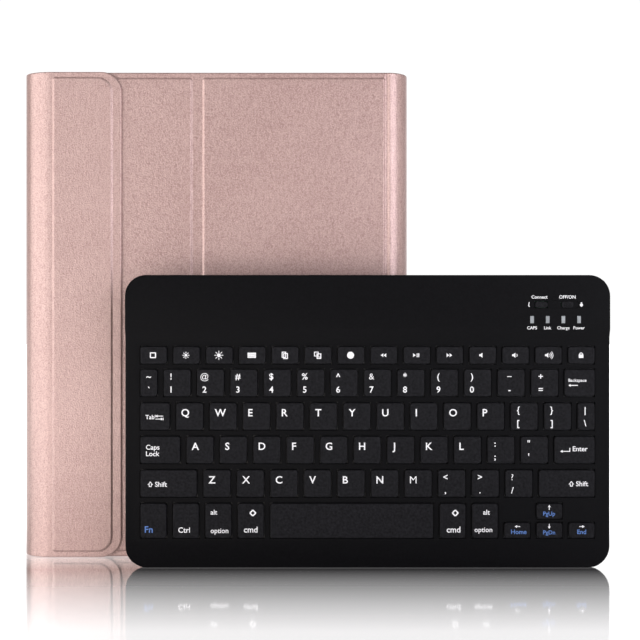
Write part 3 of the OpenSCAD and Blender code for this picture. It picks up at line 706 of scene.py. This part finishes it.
def loop(bm, width, tall, inset, depth, corner, steps=5):
    # rounded rectangle facing the viewer, with its low corner at 0
    r = max(corner - inset, 0.2 * mm)
    points = []
    for cx, cz, turn in ((width - inset - r, tall - inset - r, 0), (inset + r, tall - inset - r, 90),
                         (inset + r, inset + r, 180), (width - inset - r, inset + r, 270)):
        for i in range(steps + 1):
            a = math.radians(turn + 90 * i / steps)
            points.append(bm.verts.new((cx + r * math.cos(a), depth, cz + r * math.sin(a))))
    return points


def keycapMesh(name, width, tall, deep):
    bm = bmesh.new()
    b, d = key["bevel"], key["draft"]
    rings = [(0.0, deep), (d, b)]
    rings += [(d + b * (1 - math.cos(a)), b * (1 - math.sin(a))) for a in map(math.radians, (25, 50, 75))]
    reach = 0.47 * min(width, tall)
    top = d + b
    rings += [(top, 0.0), (top + 0.25 * (reach - top), 0.35 * key["dish"]),
              (top + 0.55 * (reach - top), 0.75 * key["dish"]), (reach, key["dish"])]
    outside = [loop(bm, width, tall, inset, depth, key["corner"]) for inset, depth in rings]
    inside = [loop(bm, width, tall, key["skirt"], depth, key["corner"]) for depth in (deep, key["roof"])]
    for rowA, rowB in list(zip(outside, outside[1:])) + list(zip([outside[0]] + inside, inside)):
        for i in range(len(rowA)):
            bm.faces.new((rowA[i - 1], rowA[i], rowB[i], rowB[i - 1]))
    bm.faces.new(outside[-1])
    bm.faces.new(inside[-1])
    return meshFrom(name, bm, 50)


rowSockets = {"Count": "NodeSocketInt", "Pitch": "NodeSocketFloat"}
rowTree, rowInputs = repeatTree("keyRow", "key_plastic", rowSockets)

# each row's node: keys of one width, and the width of a narrower key before or after them
rows = {
    "function_row_keys": {"count": 14, "before": 0.0, "after": 0.0},
    "number_row_keys": {"count": 12, "before": 8.8 * mm, "after": 0.0},
    "q_row_keys": {"count": 12, "before": 0.0, "after": 8.9 * mm},
    "a_row_keys": {"count": 11, "before": 0.0, "after": 0.0},
    "z_row_keys": {"count": 10, "before": 0.0, "after": 0.0},
}
singles = ["backspace_key", "tab_key", "caps_lock_key", "enter_key", "left_shift_key", "right_shift_key",
           "fn_key", "ctrl_key", "left_alt_key", "left_command_key", "space_bar", "right_command_key",
           "right_alt_key", "left_arrow_key", "up_arrow_key", "down_arrow_key", "right_arrow_key"]
keyPlaces = {}
collapsing = {
    "rubber_domes": {"slot": "silicone", "part": "domes"},
    "key_scissors": {"slot": "scissor_plastic", "part": "scissors"},
}


def buildCollapsing(node, slot, part):
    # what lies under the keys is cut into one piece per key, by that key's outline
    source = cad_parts[node]
    for above in list(rows) + singles:
        keyLow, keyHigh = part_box(above)
        bm = bmesh.new()
        bm.from_mesh(source.data)
        bm.transform(source.matrix_world)
        outside = [v for v in bm.verts
                   if not (keyLow.x < v.co.x < keyHigh.x and keyLow.z < v.co.z < keyHigh.z)]
        bmesh.ops.delete(bm, geom=outside, context="VERTS")
        piece = addObject(above + "_" + part, meshFrom(above + "_" + part, bm, 40))
        fill(piece, finishes[slot])
        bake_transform(piece)
        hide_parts(node)


for node, choice in collapsing.items():
    buildCollapsing(node, **choice)
print("stage: domes and scissors made")


def placeMesh(mesh, x, y, z):
    mesh.transform(Matrix.Translation((x, y, z)))
    return mesh


def joined(name, meshes):
    bm = bmesh.new()
    for mesh in meshes:
        bm.from_mesh(mesh)
    return plainMesh(name, bm)


def dishDepth(px, pz, width, tall):
    # depth of the finger hollow under a point, measured from the key's low corner
    top = key["draft"] + key["bevel"]
    reach = 0.47 * min(width, tall)
    share = (min(px, pz, width - px, tall - pz) - top) / (reach - top)
    steps = [(0.0, 0.0), (0.25, 0.35), (0.55, 0.75), (1.0, 1.0)]
    for (a, da), (b, db) in zip(steps, steps[1:]):
        if share <= b:
            return key["dish"] * (da + (db - da) * max(0.0, share - a) / (b - a))
    return key["dish"]


def finishKeys(node, mesh):
    mesh.shade_smooth()
    mesh.set_sharp_from_angle(angle=math.radians(50))
    piece = fill(addObject(node + "_caps", mesh), finishes["key_plastic"])
    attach(piece, node)
    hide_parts(node)


def buildKeys():
    for node, row in rows.items():
        low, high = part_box(node)
        tall, deep = high.z - low.z, high.y - low.y
        before, after = row["before"], row["after"]
        startX = low.x + (before + key["gap"] if before else 0)
        endX = high.x - (after + key["gap"] if after else 0)
        pitch = (endX - startX + key["gap"]) / row["count"]
        width = pitch - key["gap"]
        cap = keycapMesh("cap", width, tall, deep)
        piece = repeated("row", cap, rowTree, rowInputs, (row["count"], pitch))
        parts = [placeMesh(piece.data, startX, low.y, low.z)]
        bpy.data.objects.remove(piece)
        places = [(startX + i * pitch, width) for i in range(row["count"])]
        for x, wide in ((low.x, before), (high.x - after, after)):
            if wide:
                parts.append(placeMesh(keycapMesh("cap", wide, tall, deep), x, low.y, low.z))
                places.append((x, wide))
        keyPlaces[node] = [(x, low.y, low.z, wide, tall) for x, wide in sorted(places)]
        finishKeys(node, joined(node, parts))
    for node in singles:
        low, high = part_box(node)
        size = high - low
        finishKeys(node, placeMesh(keycapMesh(node, size.x, size.z, size.y), *low))
        keyPlaces[node] = [(low.x, low.y, low.z, size.x, size.z)]
    print("stage: keycaps made,", sum(len(v) for v in keyPlaces.values()))


buildKeys()

legend = {
    "thick": 0.02 * mm,
    "left": 2.75 * mm,         # from a key's left edge to its letter
    "top": 3.3 * mm,           # from its top edge to the letter's top
    "tall": 3.6 * mm,          # height of a capital
    "upper": 2.2 * mm,         # top of the upper of two symbols
    "lower": 8.9 * mm,         # top of the lower one
    "pair": 3.05 * mm,
}


def textMesh(words, tall):
    # strokes are thickened a little, but not where a glyph would close up
    curve = bpy.data.curves.new("words", "FONT")
    curve.body = words
    curve.resolution_u = 3
    curve.offset = 0.0 if words in "M?@&" else 0.015
    curve.extrude = legend["thick"] / 2 / tall * capShare
    piece = addObject("words", curve)
    mesh = evaluated(piece)
    bpy.data.objects.remove(piece)
    mesh.transform(Matrix.Scale(tall / capShare, 4))
    return mesh


def measureCapital():
    # height of a capital as a share of the type's size
    curve = bpy.data.curves.new("measure", "FONT")
    curve.body = "E"
    piece = addObject("measure", curve)
    mesh = evaluated(piece)
    bpy.data.objects.remove(piece)
    return max(v.co.y for v in mesh.vertices)


capShare = measureCapital()


def word(words, x, top, tall, align="left"):
    # text with its capital's top at a height below 0, set by its left edge or its middle
    mesh = textMesh(words, tall)
    xs = [v.co.x for v in mesh.vertices]
    shift = x - (min(xs) if align == "left" else (min(xs) + max(xs)) / 2)
    mesh.transform(Matrix.Translation((shift, -top - tall, 0)))
    return mesh


def plateMesh(outlines):
    # thin prisms from flat outlines
    bm = bmesh.new()
    half = legend["thick"] / 2
    for points in outlines:
        front = [bm.verts.new((x, y, half)) for x, y in points]
        back = [bm.verts.new((x, y, -half)) for x, y in points]
        bm.faces.new(front)
        bm.faces.new(list(reversed(back)))
        for i in range(len(points)):
            bm.faces.new((front[i - 1], back[i - 1], back[i], front[i]))
    bmesh.ops.recalc_face_normals(bm, faces=bm.faces)
    return plainMesh("mark", bm)


def bar(x0, y0, x1, y1, wide):
    along = Vector((x1 - x0, y1 - y0)).normalized() * wide / 2
    a, b = Vector((x0, y0)), Vector((x1, y1))
    side = Vector((-along.y, along.x))
    return [tuple(a - side), tuple(b - side), tuple(b + side), tuple(a + side)]


def arc(cx, cy, r, wide, start, end, steps=12):
    # list of short bars along a circle
    marks = []
    for i in range(steps):
        a, b = (math.radians(start + (end - start) * (i + k) / steps) for k in (0, 1))
        marks.append([(cx + (r + s * wide / 2) * math.cos(t), cy + (r + s * wide / 2) * math.sin(t))
                      for t, s in ((a, -1), (a, 1), (b, 1), (b, -1))])
    return marks


def disc(cx, cy, r, steps=20):
    turns = [math.tau * i / steps for i in range(steps)]
    return [(cx + r * math.cos(a), cy + r * math.sin(a)) for a in turns]


def boxOutline(x0, y0, x1, y1, wide):
    h = wide / 2
    return [bar(x0 - h, y0, x1 + h, y0, wide), bar(x0 - h, y1, x1 + h, y1, wide),
            bar(x0, y0 - h, x0, y1 + h, wide), bar(x1, y0 - h, x1, y1 + h, wide)]


def sun(r, ray):
    marks = [disc(0, 0, r)]
    for i in range(8):
        a = math.tau * i / 8
        c, s = math.cos(a), math.sin(a)
        marks.append(bar(c * (r + 0.25), s * (r + 0.25), c * (r + ray), s * (r + ray), 0.35))
    return marks


def arrow(way, size=1.5, x=0.0, y=0.0):
    # arrow pointing along (x, y), in millimetres
    wx, wy = way
    head = [(x + wx * size, y + wy * size), (x + wx * 0.1 - wy * 0.75, y + wy * 0.1 + wx * 0.75),
            (x + wx * 0.1 + wy * 0.75, y + wy * 0.1 - wx * 0.75)]
    return [head, bar(x - wx * size, y - wy * size, x + wx * 0.2, y + wy * 0.2, 0.42)]


def speaker(waves):
    marks = [[(-1.6, -0.5), (-0.9, -0.5), (0.1, -1.3), (0.1, 1.3), (-0.9, 0.5), (-1.6, 0.5)]]
    for i in range(waves):
        marks += arc(0.1, 0, 0.9 + 0.75 * i, 0.32, -50, 50, 6)
    return marks


def triangle(x, way, size=1.0):
    return [(x, -size), (x, size), (x + way * 1.35 * size, 0)]


icons = {
    "home": boxOutline(-1.3, -1.2, 1.3, 1.2, 0.55),
    "dim": sun(0.7, 1.1),
    "bright": sun(0.95, 1.35),
    "board": [bar(-2, y, 2, y, 0.62) for y in (-0.95, -0.2, 0.55, 1.0)] + boxOutline(-2, -1.2, 2, 1.2, 0.3),
    "copy": boxOutline(-1.3, -1.1, 0.5, 1.6, 0.45) + boxOutline(-0.5, -1.7, 1.4, 0.9, 0.45),
    "paste": boxOutline(-1.6, -0.4, 0.3, 1.6, 0.4) + boxOutline(-0.3, -1.6, 1.6, 0.7, 0.5)
             + [bar(0.1, -0.9, 1.3, -0.9, 0.4)],
    "globe": [disc(0, 0, 1.8, 28)],
    "rewind": [triangle(-0.1, -1), triangle(1.4, -1)],
    "play": [triangle(-1.7, 1), bar(0.35, -1, 0.35, 1, 0.45), bar(1.2, -1, 1.2, 1, 0.45)],
    "forward": [triangle(-1.4, 1), triangle(0.1, 1)],
    "mute": speaker(0),
    "quiet": speaker(1),
    "loud": speaker(3),
    "lock": [bar(0, -1.4, 0, 0.4, 2.4)] + arc(0, 0.4, 0.8, 0.42, 0, 180, 8),
    "shift": [bar(-0.9, 0, 0, 1.3, 0.4), bar(0.9, 0, 0, 1.3, 0.4),
              bar(-1.3, -0.05, -0.5, -0.05, 0.4), bar(1.3, -0.05, 0.5, -0.05, 0.4),
              bar(-0.55, 0, -0.55, -1.1, 0.4), bar(0.55, 0, 0.55, -1.1, 0.4),
              bar(-0.7, -1.1, 0.7, -1.1, 0.4)],
    "enter": arrow((-1, 0), 1.3, -1.6, -0.6)
             + [bar(-1.6, -0.6, 2.0, -0.6, 0.42), bar(2.0, -0.8, 2.0, 1.2, 0.42)],
    "erase": arrow((-1, 0), 1.2, -1.2, 0) + [bar(-0.8, 0, 2.4, 0, 0.42)],
    "tabs": arrow((-1, 0), 1.1, -0.6, 0.75)
            + [bar(-1.9, 0.1, -1.9, 1.4, 0.35), bar(0, 0.75, 2.2, 0.75, 0.35)]
            + arrow((1, 0), 1.1, 0.9, -0.75)
            + [bar(2.2, -1.4, 2.2, -0.1, 0.35), bar(-1.8, -0.75, 0, -0.75, 0.35)],
    "diamond": [bar(-1.5, 0, 0, 1.5, 0.7), bar(0, 1.5, 1.5, 0, 0.7),
                bar(1.5, 0, 0, -1.5, 0.7), bar(0, -1.5, -1.5, 0, 0.7)],
    "left": arrow((-1, 0), 1.4),
    "right": arrow((1, 0), 1.4),
    "up": arrow((0, 1), 1.3),
    "down": arrow((0, -1), 1.3),
    "dot": [disc(0, 0, 0.8), bar(0, 0.6, 0, 1.3, 0.7)],
}


def icon(name, x, top):
    mesh = plateMesh([[(px * mm, py * mm) for px, py in points] for points in icons[name]])
    mesh.transform(Matrix.Translation((x, -top, 0)))
    return mesh


def printOn(name, body, marks, colour="white"):
    # marks are (mesh, x, y, z): the mesh is stood up with its own origin at that place
    stand = Matrix.Rotation(math.radians(90), 4, "X")
    for mesh, x, y, z in marks:
        mesh.transform(Matrix.Translation((x, y, z)) @ stand)
    piece = fill(addObject(name, joined(name, [m[0] for m in marks])), inks[colour])
    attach(piece, body)


# upper and lower symbols, and where their middle stands from the key's left edge, in millimetres
pairs = {
    "number_row_keys": [("~", "`", 4.4)] + [(a, b, 3.9) for a, b in zip("!@#$%^&*()", "1234567890")]
                       + [("_", "-", 6.0), ("+", "=", 4.9)],
    "q_row_keys": [None] * 10 + [("{", "[", 3.9), ("}", "]", 3.8), ("|", "\\", 3.8)],
    "a_row_keys": [None] * 9 + [(":", ";", 3.9), ("\"", "'", 4.0)],
    "z_row_keys": [None] * 7 + [("<", ",", 3.7), (">", ".", 4.2), ("?", "/", 3.6)],
}
letters = {"q_row_keys": "QWERTYUIOP", "a_row_keys": "ASDFGHJKL", "z_row_keys": "ZXCVBNM"}
functionIcons = ["home", "dim", "bright", "board", "copy", "paste", "globe", "rewind", "play", "forward",
                 "mute", "quiet", "loud", "lock"]
# words: (text, left edge, top, height of a capital); icons: (name, middle, middle); in millimetres
# from the key's top left corner
wideLegends = {
    "backspace_key": [("Backspace", 2.0, 4.9, 1.55), ("erase", 4.4, 8.3)],
    "tab_key": [("Tab", 2.7, 6.3, 2.1), ("tabs", 9.6, 7.6)],
    "caps_lock_key": [("Caps", 3.0, 4.4, 2.4), ("Lock", 3.0, 7.7, 2.4)],
    "enter_key": [("enter", 5.9, 7.1), ("Enter", 9.4, 5.2, 2.4)],
    "left_shift_key": [("shift", 5.2, 7.4), ("Shift", 7.6, 6.2, 2.4)],
    "right_shift_key": [("shift", 16.6, 7.2), ("Shift", 19.0, 5.9, 2.4)],
    "fn_key": [("Fn", 2.4, 11.7, 3.2)],
    "ctrl_key": [("Ctrl", 2.9, 12.3, 2.6)],
    "left_alt_key": [("alt", 2.8, 3.3, 2.4), ("option", 2.8, 12.7, 2.4)],
    "left_command_key": [("diamond", 7.8, 4.9), ("cmd", 3.2, 11.9, 2.9)],
    "right_command_key": [("diamond", 8.0, 4.9), ("cmd", 3.6, 11.9, 2.9)],
    "right_alt_key": [("alt", 5.7, 3.3, 2.4), ("option", 1.3, 12.2, 2.4)],
    "left_arrow_key": [("left", 6.7, 2.0), ("Home", 3.5, 3.6, 2.2)],
    "up_arrow_key": [("up", 6.5, 2.0), ("PgUp", 3.4, 4.2, 2.0)],
    "down_arrow_key": [("down", 6.5, 1.9), ("PgDn", 3.4, 4.0, 2.0)],
    "right_arrow_key": [("right", 6.7, 2.0), ("End", 4.3, 3.6, 2.2)],
}
blueWords = ("Fn", "Home", "PgUp", "PgDn", "End")


band = {
    "lens": 1.9 * mm,          # width of a lamp's lens
    "caption": 1.5 * mm,       # capitals under the lamps
    "title": 1.6 * mm,         # capitals over the two controls
    "under": 1.6 * mm,
    "over": 3.1 * mm,
}


def buildLegends():
    marks = {}

    def note(node, index, mesh, colour="white"):
        x, y, z, wide, tall = keyPlaces[node][index]
        for vert in mesh.vertices:
            vert.co.z -= dishDepth(vert.co.x, tall + vert.co.y, wide, tall)
        marks.setdefault((node, colour), []).append((mesh, x, y, z + tall))

    for index, name in enumerate(functionIcons):
        wide, tall = keyPlaces["function_row_keys"][index][3:]
        note("function_row_keys", index, icon(name, wide * 0.48, tall * 0.5))
    for node, row in letters.items():
        for index, letter in enumerate(row):
            note(node, index, word(letter, legend["left"], legend["top"], legend["tall"]))
    for node, row in pairs.items():
        for index, pair in enumerate(row):
            if pair:
                upper, lower, middle = pair
                raised = 1.9 * mm if upper == "_" else 0.0
                for sign, top in ((upper, legend["upper"] - raised), (lower, legend["lower"])):
                    note(node, index, word(sign, middle * mm, top, legend["pair"], "middle"))
    for node, items in wideLegends.items():
        for words, *place in items:
            make = icon if words in icons else word
            note(node, 0, make(words, *[p * mm for p in place]), "blue" if words in blueWords else "white")
    for (node, colour), items in marks.items():
        printOn(f"{node}_print_{colour}", node, items, colour)

    lensLow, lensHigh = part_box("indicator_lenses")
    buttonLow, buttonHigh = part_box("connect_button")
    knobLow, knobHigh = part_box("power_switch_knob")
    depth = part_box("keyboard_top_cover")[0].y - legend["thick"] / 2 + 0.005 * mm
    gap = (lensHigh.x - lensLow.x - band["lens"]) / 3
    prints = []
    for i, words in enumerate(("CAPS", "Link", "Charge", "Power")):
        x = lensLow.x + band["lens"] / 2 + i * gap
        prints.append((word(words, 0, 0, band["caption"], "middle"), x, depth, lensLow.z - band["under"]))
    for words, x in (("Connect", buttonLow.x + 2.2 * mm), ("OFF/ON", knobLow.x + 2.8 * mm)):
        prints.append((word(words, 0, 0, band["title"], "middle"), x, depth, buttonHigh.z + band["over"]))
    prints.append((icon("dot", 0, 0), knobHigh.x + 4.0 * mm, depth, (knobLow.z + knobHigh.z) / 2 - 0.2 * mm))
    bow = plateMesh([[(x * mm, y * mm) for x, y in p] for p in arc(2.2, 0, 2.4, 0.4, 150, 210, 6)])
    prints.append((bow, buttonLow.x - 3.1 * mm, depth, (buttonLow.z + buttonHigh.z) / 2))
    printOn("band_print", "keyboard", prints)
    print("stage: legends printed")


buildLegends()

screw = {"head": 1.6 * mm, "shaft": 0.75 * mm, "turns": 5}
foot = {"radius": 4 * mm, "round": 0.25 * mm}


def lathe(profile, steps):
    # closed shape turned about Y from (radius, y) pairs that start and end on the axis
    bm = bmesh.new()
    rings = []
    turns = [math.tau * i / steps for i in range(steps)]
    for r, y in profile:
        rings.append([bm.verts.new((r * math.cos(a), y, r * math.sin(a))) for a in turns])
    for a, b in zip(rings, rings[1:]):
        for i in range(steps):
            bm.faces.new((a[i - 1], a[i], b[i], b[i - 1]))
    bm.faces.new(rings[0])
    bm.faces.new(list(reversed(rings[-1])))
    bmesh.ops.recalc_face_normals(bm, faces=bm.faces)
    return bm


def solidsOf(node):
    # centre of every separate solid in a CAD node
    bm = bmesh.new()
    bm.from_mesh(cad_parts[node].data)
    bmesh.ops.remove_doubles(bm, verts=bm.verts, dist=2e-6)
    seen, centres = set(), []
    for vert in bm.verts:
        if vert.index in seen:
            continue
        stack, group = [vert], []
        seen.add(vert.index)
        while stack:
            v = stack.pop()
            group.append(v.co.copy())
            for edge in v.link_edges:
                other = edge.other_vert(v)
                if other.index not in seen:
                    seen.add(other.index)
                    stack.append(other)
        low = Vector([min(c[i] for c in group) for i in range(3)])
        high = Vector([max(c[i] for c in group) for i in range(3)])
        centres.append((low + high) / 2)
    bm.free()
    return centres


def standAll(node, slot, item):
    low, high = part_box(node)
    places = bpy.data.meshes.new("places")
    places.from_pydata([(c.x, low.y, c.z) for c in solidsOf(node)], [], [])
    guide = addObject("places", places)
    tree, inputs = repeatTree(node + "_tree", slot, {"Places": "NodeSocketObject"})
    piece = repeated(node + "_turned", item, tree, inputs, (guide,))
    bpy.data.objects.remove(guide)
    piece.data.shade_smooth()
    piece.data.set_sharp_from_angle(angle=math.radians(40))
    fill(piece, finishes[slot])
    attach(piece, "keyboard")
    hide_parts(node)


def buildFasteners():
    low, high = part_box("cover_screws")
    deep, head = high.y - low.y, 0.4 * mm
    r, s = screw["head"], screw["shaft"]
    # the head faces +Y, so the profile runs from the tip back to the head
    thread = []
    steps = screw["turns"] * 2
    for i in range(steps + 1):
        y = deep - head - (deep - head - 0.3 * mm) * i / steps
        thread.append((s if i % 2 else s - 0.18 * mm, deep - y - head))
    bm = lathe([(0.1 * mm, 0.0), (s - 0.3 * mm, 0.02 * mm)] + thread[1:-1]
               + [(s, deep - head), (r, deep - head), (r, deep - 0.12 * mm),
                  (r - 0.12 * mm, deep - 0.02 * mm), (0.1 * mm, deep)], 24)
    body = addObject("screw", meshFrom("screw", bm, 40))
    cutter = bmesh.new()
    for turn in (0, 90):
        made = bmesh.ops.create_cube(cutter, size=1.0)
        size = Matrix.Diagonal((1.7 * mm, 0.5 * mm, 0.34 * mm, 1))
        bmesh.ops.transform(cutter, verts=made["verts"], matrix=Matrix.Translation((0, deep, 0))
                            @ Matrix.Rotation(math.radians(turn), 4, "Y") @ size)
    slotPiece = addObject("slot", meshFrom("slot", cutter))
    cut = body.modifiers.new("recess", "BOOLEAN")
    cut.object = slotPiece
    cut.solver = "EXACT"
    cut.use_self = True
    bakeModifiers(body)
    item = body.data
    bpy.data.objects.remove(slotPiece)
    bpy.data.objects.remove(body)
    standAll("cover_screws", "screw", item)
    low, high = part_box("rubber_feet")
    deep, r, e = high.y - low.y, foot["radius"], foot["round"]
    profile = [(0.3 * mm, 0.0), (r, 0.0), (r, deep - e)]
    profile += [(r - e + e * math.cos(a), deep - e + e * math.sin(a))
                for a in map(math.radians, (30, 60, 90))]
    profile += [(r * 0.62, deep), (r * 0.58, deep - 0.12 * mm), (0.3 * mm, deep - 0.12 * mm)]
    standAll("rubber_feet", "foot_rubber", meshFrom("foot", lathe(profile, 40), 40))
    print("stage: screws and feet made")


buildFasteners()

studio = {
    "floor": "#FFFFFF",
    "gloss": 0.06,
    "contact": -0.03,          # where the object meets the floor, along Y
    "fade": 0.13,              # distance in front over which the floor's mirroring dies away
    "side": 0.19,              # half width of the polished strip
    "mirror": 0.9,
    "glow": 0.62,              # brightness of the floor beyond it
    "backGlow": 1.0,           # brightness of the floor behind the object
    "behind": 1.05,            # brightness that the floor mirrors behind the object
    "around": 0.1,
}


def buildStage():
    bm = bmesh.new()
    bmesh.ops.create_grid(bm, x_segments=2, y_segments=2, size=6)
    floor = addObject("floor", meshFrom("floor", bm, outward=False))
    material, tree, shader, place = surface("glossy_white_acrylic_lit", studio["floor"], studio["gloss"])
    # lit from inside like a light table, and polished only close to the object
    parts = addNode(tree, "ShaderNodeSeparateXYZ", {}, {"Vector": place})
    near, far = studio["contact"], studio["contact"] - studio["fade"]
    aside = addNode(tree, "ShaderNodeMath", {"operation": "ABSOLUTE"}, {0: parts.outputs["X"]})
    brightest = None
    for source, start, end, most in ((parts.outputs["Y"], near, near + studio["fade"], studio["backGlow"]),
                                     (aside.outputs["Value"], studio["side"],
                                      studio["side"] + studio["fade"], studio["backGlow"]),
                                     (parts.outputs["Y"], near, far, studio["glow"])):
        fading = addNode(tree, "ShaderNodeMapRange", {"From Min": start, "From Max": end, "To Max": most},
                         {"Value": source}).outputs["Result"]
        if brightest:
            fading = addNode(tree, "ShaderNodeMath", {"operation": "MAXIMUM"},
                             {0: brightest, 1: fading}).outputs["Value"]
        brightest = fading
    polish = addNode(tree, "ShaderNodeMapRange",
                     {"From Max": studio["backGlow"] * 0.8, "To Min": studio["mirror"], "To Max": 0.0},
                     {"Value": brightest})
    tree.links.new(brightest, shader.inputs["Emission Strength"])
    tree.links.new(polish.outputs["Result"], shader.inputs["Metallic"])
    shader.inputs["Emission Color"].default_value = linear("#FFFFFF")
    shader.inputs["Specular IOR Level"].default_value = 0.1
    fill(floor, material)

    world = bpy.data.worlds.new("studio")
    bpy.context.scene.world = world
    world.use_nodes = True
    tree = world.node_tree
    sky = tree.nodes["Background"]
    way = addNode(tree, "ShaderNodeTexCoord").outputs["Generated"]
    parts = addNode(tree, "ShaderNodeSeparateXYZ", {}, {"Vector": way})
    behind = addNode(tree, "ShaderNodeMapRange",
                     {"From Min": 0.5, "From Max": 0.92, "To Min": studio["around"],
                      "To Max": studio["behind"]}, {"Value": parts.outputs["Y"]})
    sight = addNode(tree, "ShaderNodeLightPath")
    mix = addNode(tree, "ShaderNodeMix", {"data_type": "FLOAT", "B": 1.05},
                  {"Factor": sight.outputs["Is Camera Ray"], "A": behind.outputs["Result"]})
    tree.links.new(mix.outputs["Result"], sky.inputs["Strength"])
    sky.inputs["Color"].default_value = (1, 1, 1, 1)

    lamps = {
        "leftSoftbox": {"from": (-1.02, -0.72, 0.3), "to": 0.13, "size": (1.5, 1.0), "power": 11.3,
                        "colour": "#FFFAF8"},
        "rightSoftbox": {"from": (0.85, -1.1, 0.34), "to": 0.13, "size": (0.8, 1.0), "power": 10.7,
                         "colour": "#F7F5FF"},
        "rightRim": {"from": (1.0, -0.1, 0.2), "to": 0.13, "size": (0.4, 1.2), "power": 0.9,
                     "colour": "#FFF6F2"},
        "lowStrip": {"from": (-0.2, -0.42, 0.03), "to": 0.06, "size": (0.5, 0.05), "power": 0.22,
                     "colour": "#FFF0EA"},
    }
    for name, lamp in lamps.items():
        light = bpy.data.lights.new(name, "AREA")
        light.shape = "RECTANGLE"
        light.size, light.size_y = lamp["size"]
        light.energy = lamp["power"]
        light.color = linear(lamp["colour"])[:3]
        holder = addObject(name, light)
        holder.location = lamp["from"]
        aim = Vector((0, 0, lamp["to"])) - Vector(lamp["from"])
        holder.rotation_euler = aim.to_track_quat("-Z", "Y").to_euler()
    print("stage: studio set")


view = {
    "sensor": 36,              # width, as the lens in millimetres
    "lens": 72.1,
    "place": (0.0057, -0.6825, 0.127),
}


def buildCamera():
    data = bpy.data.cameras.new("camera")
    data.sensor_width = view["sensor"]
    data.lens = view["lens"]
    camera = addObject("camera", data)
    camera.location = view["place"]
    camera.rotation_euler = (math.radians(90), 0, 0)
    bpy.context.scene.camera = camera
    bpy.context.scene.view_settings.view_transform = "Standard"


buildStage()
buildCamera()
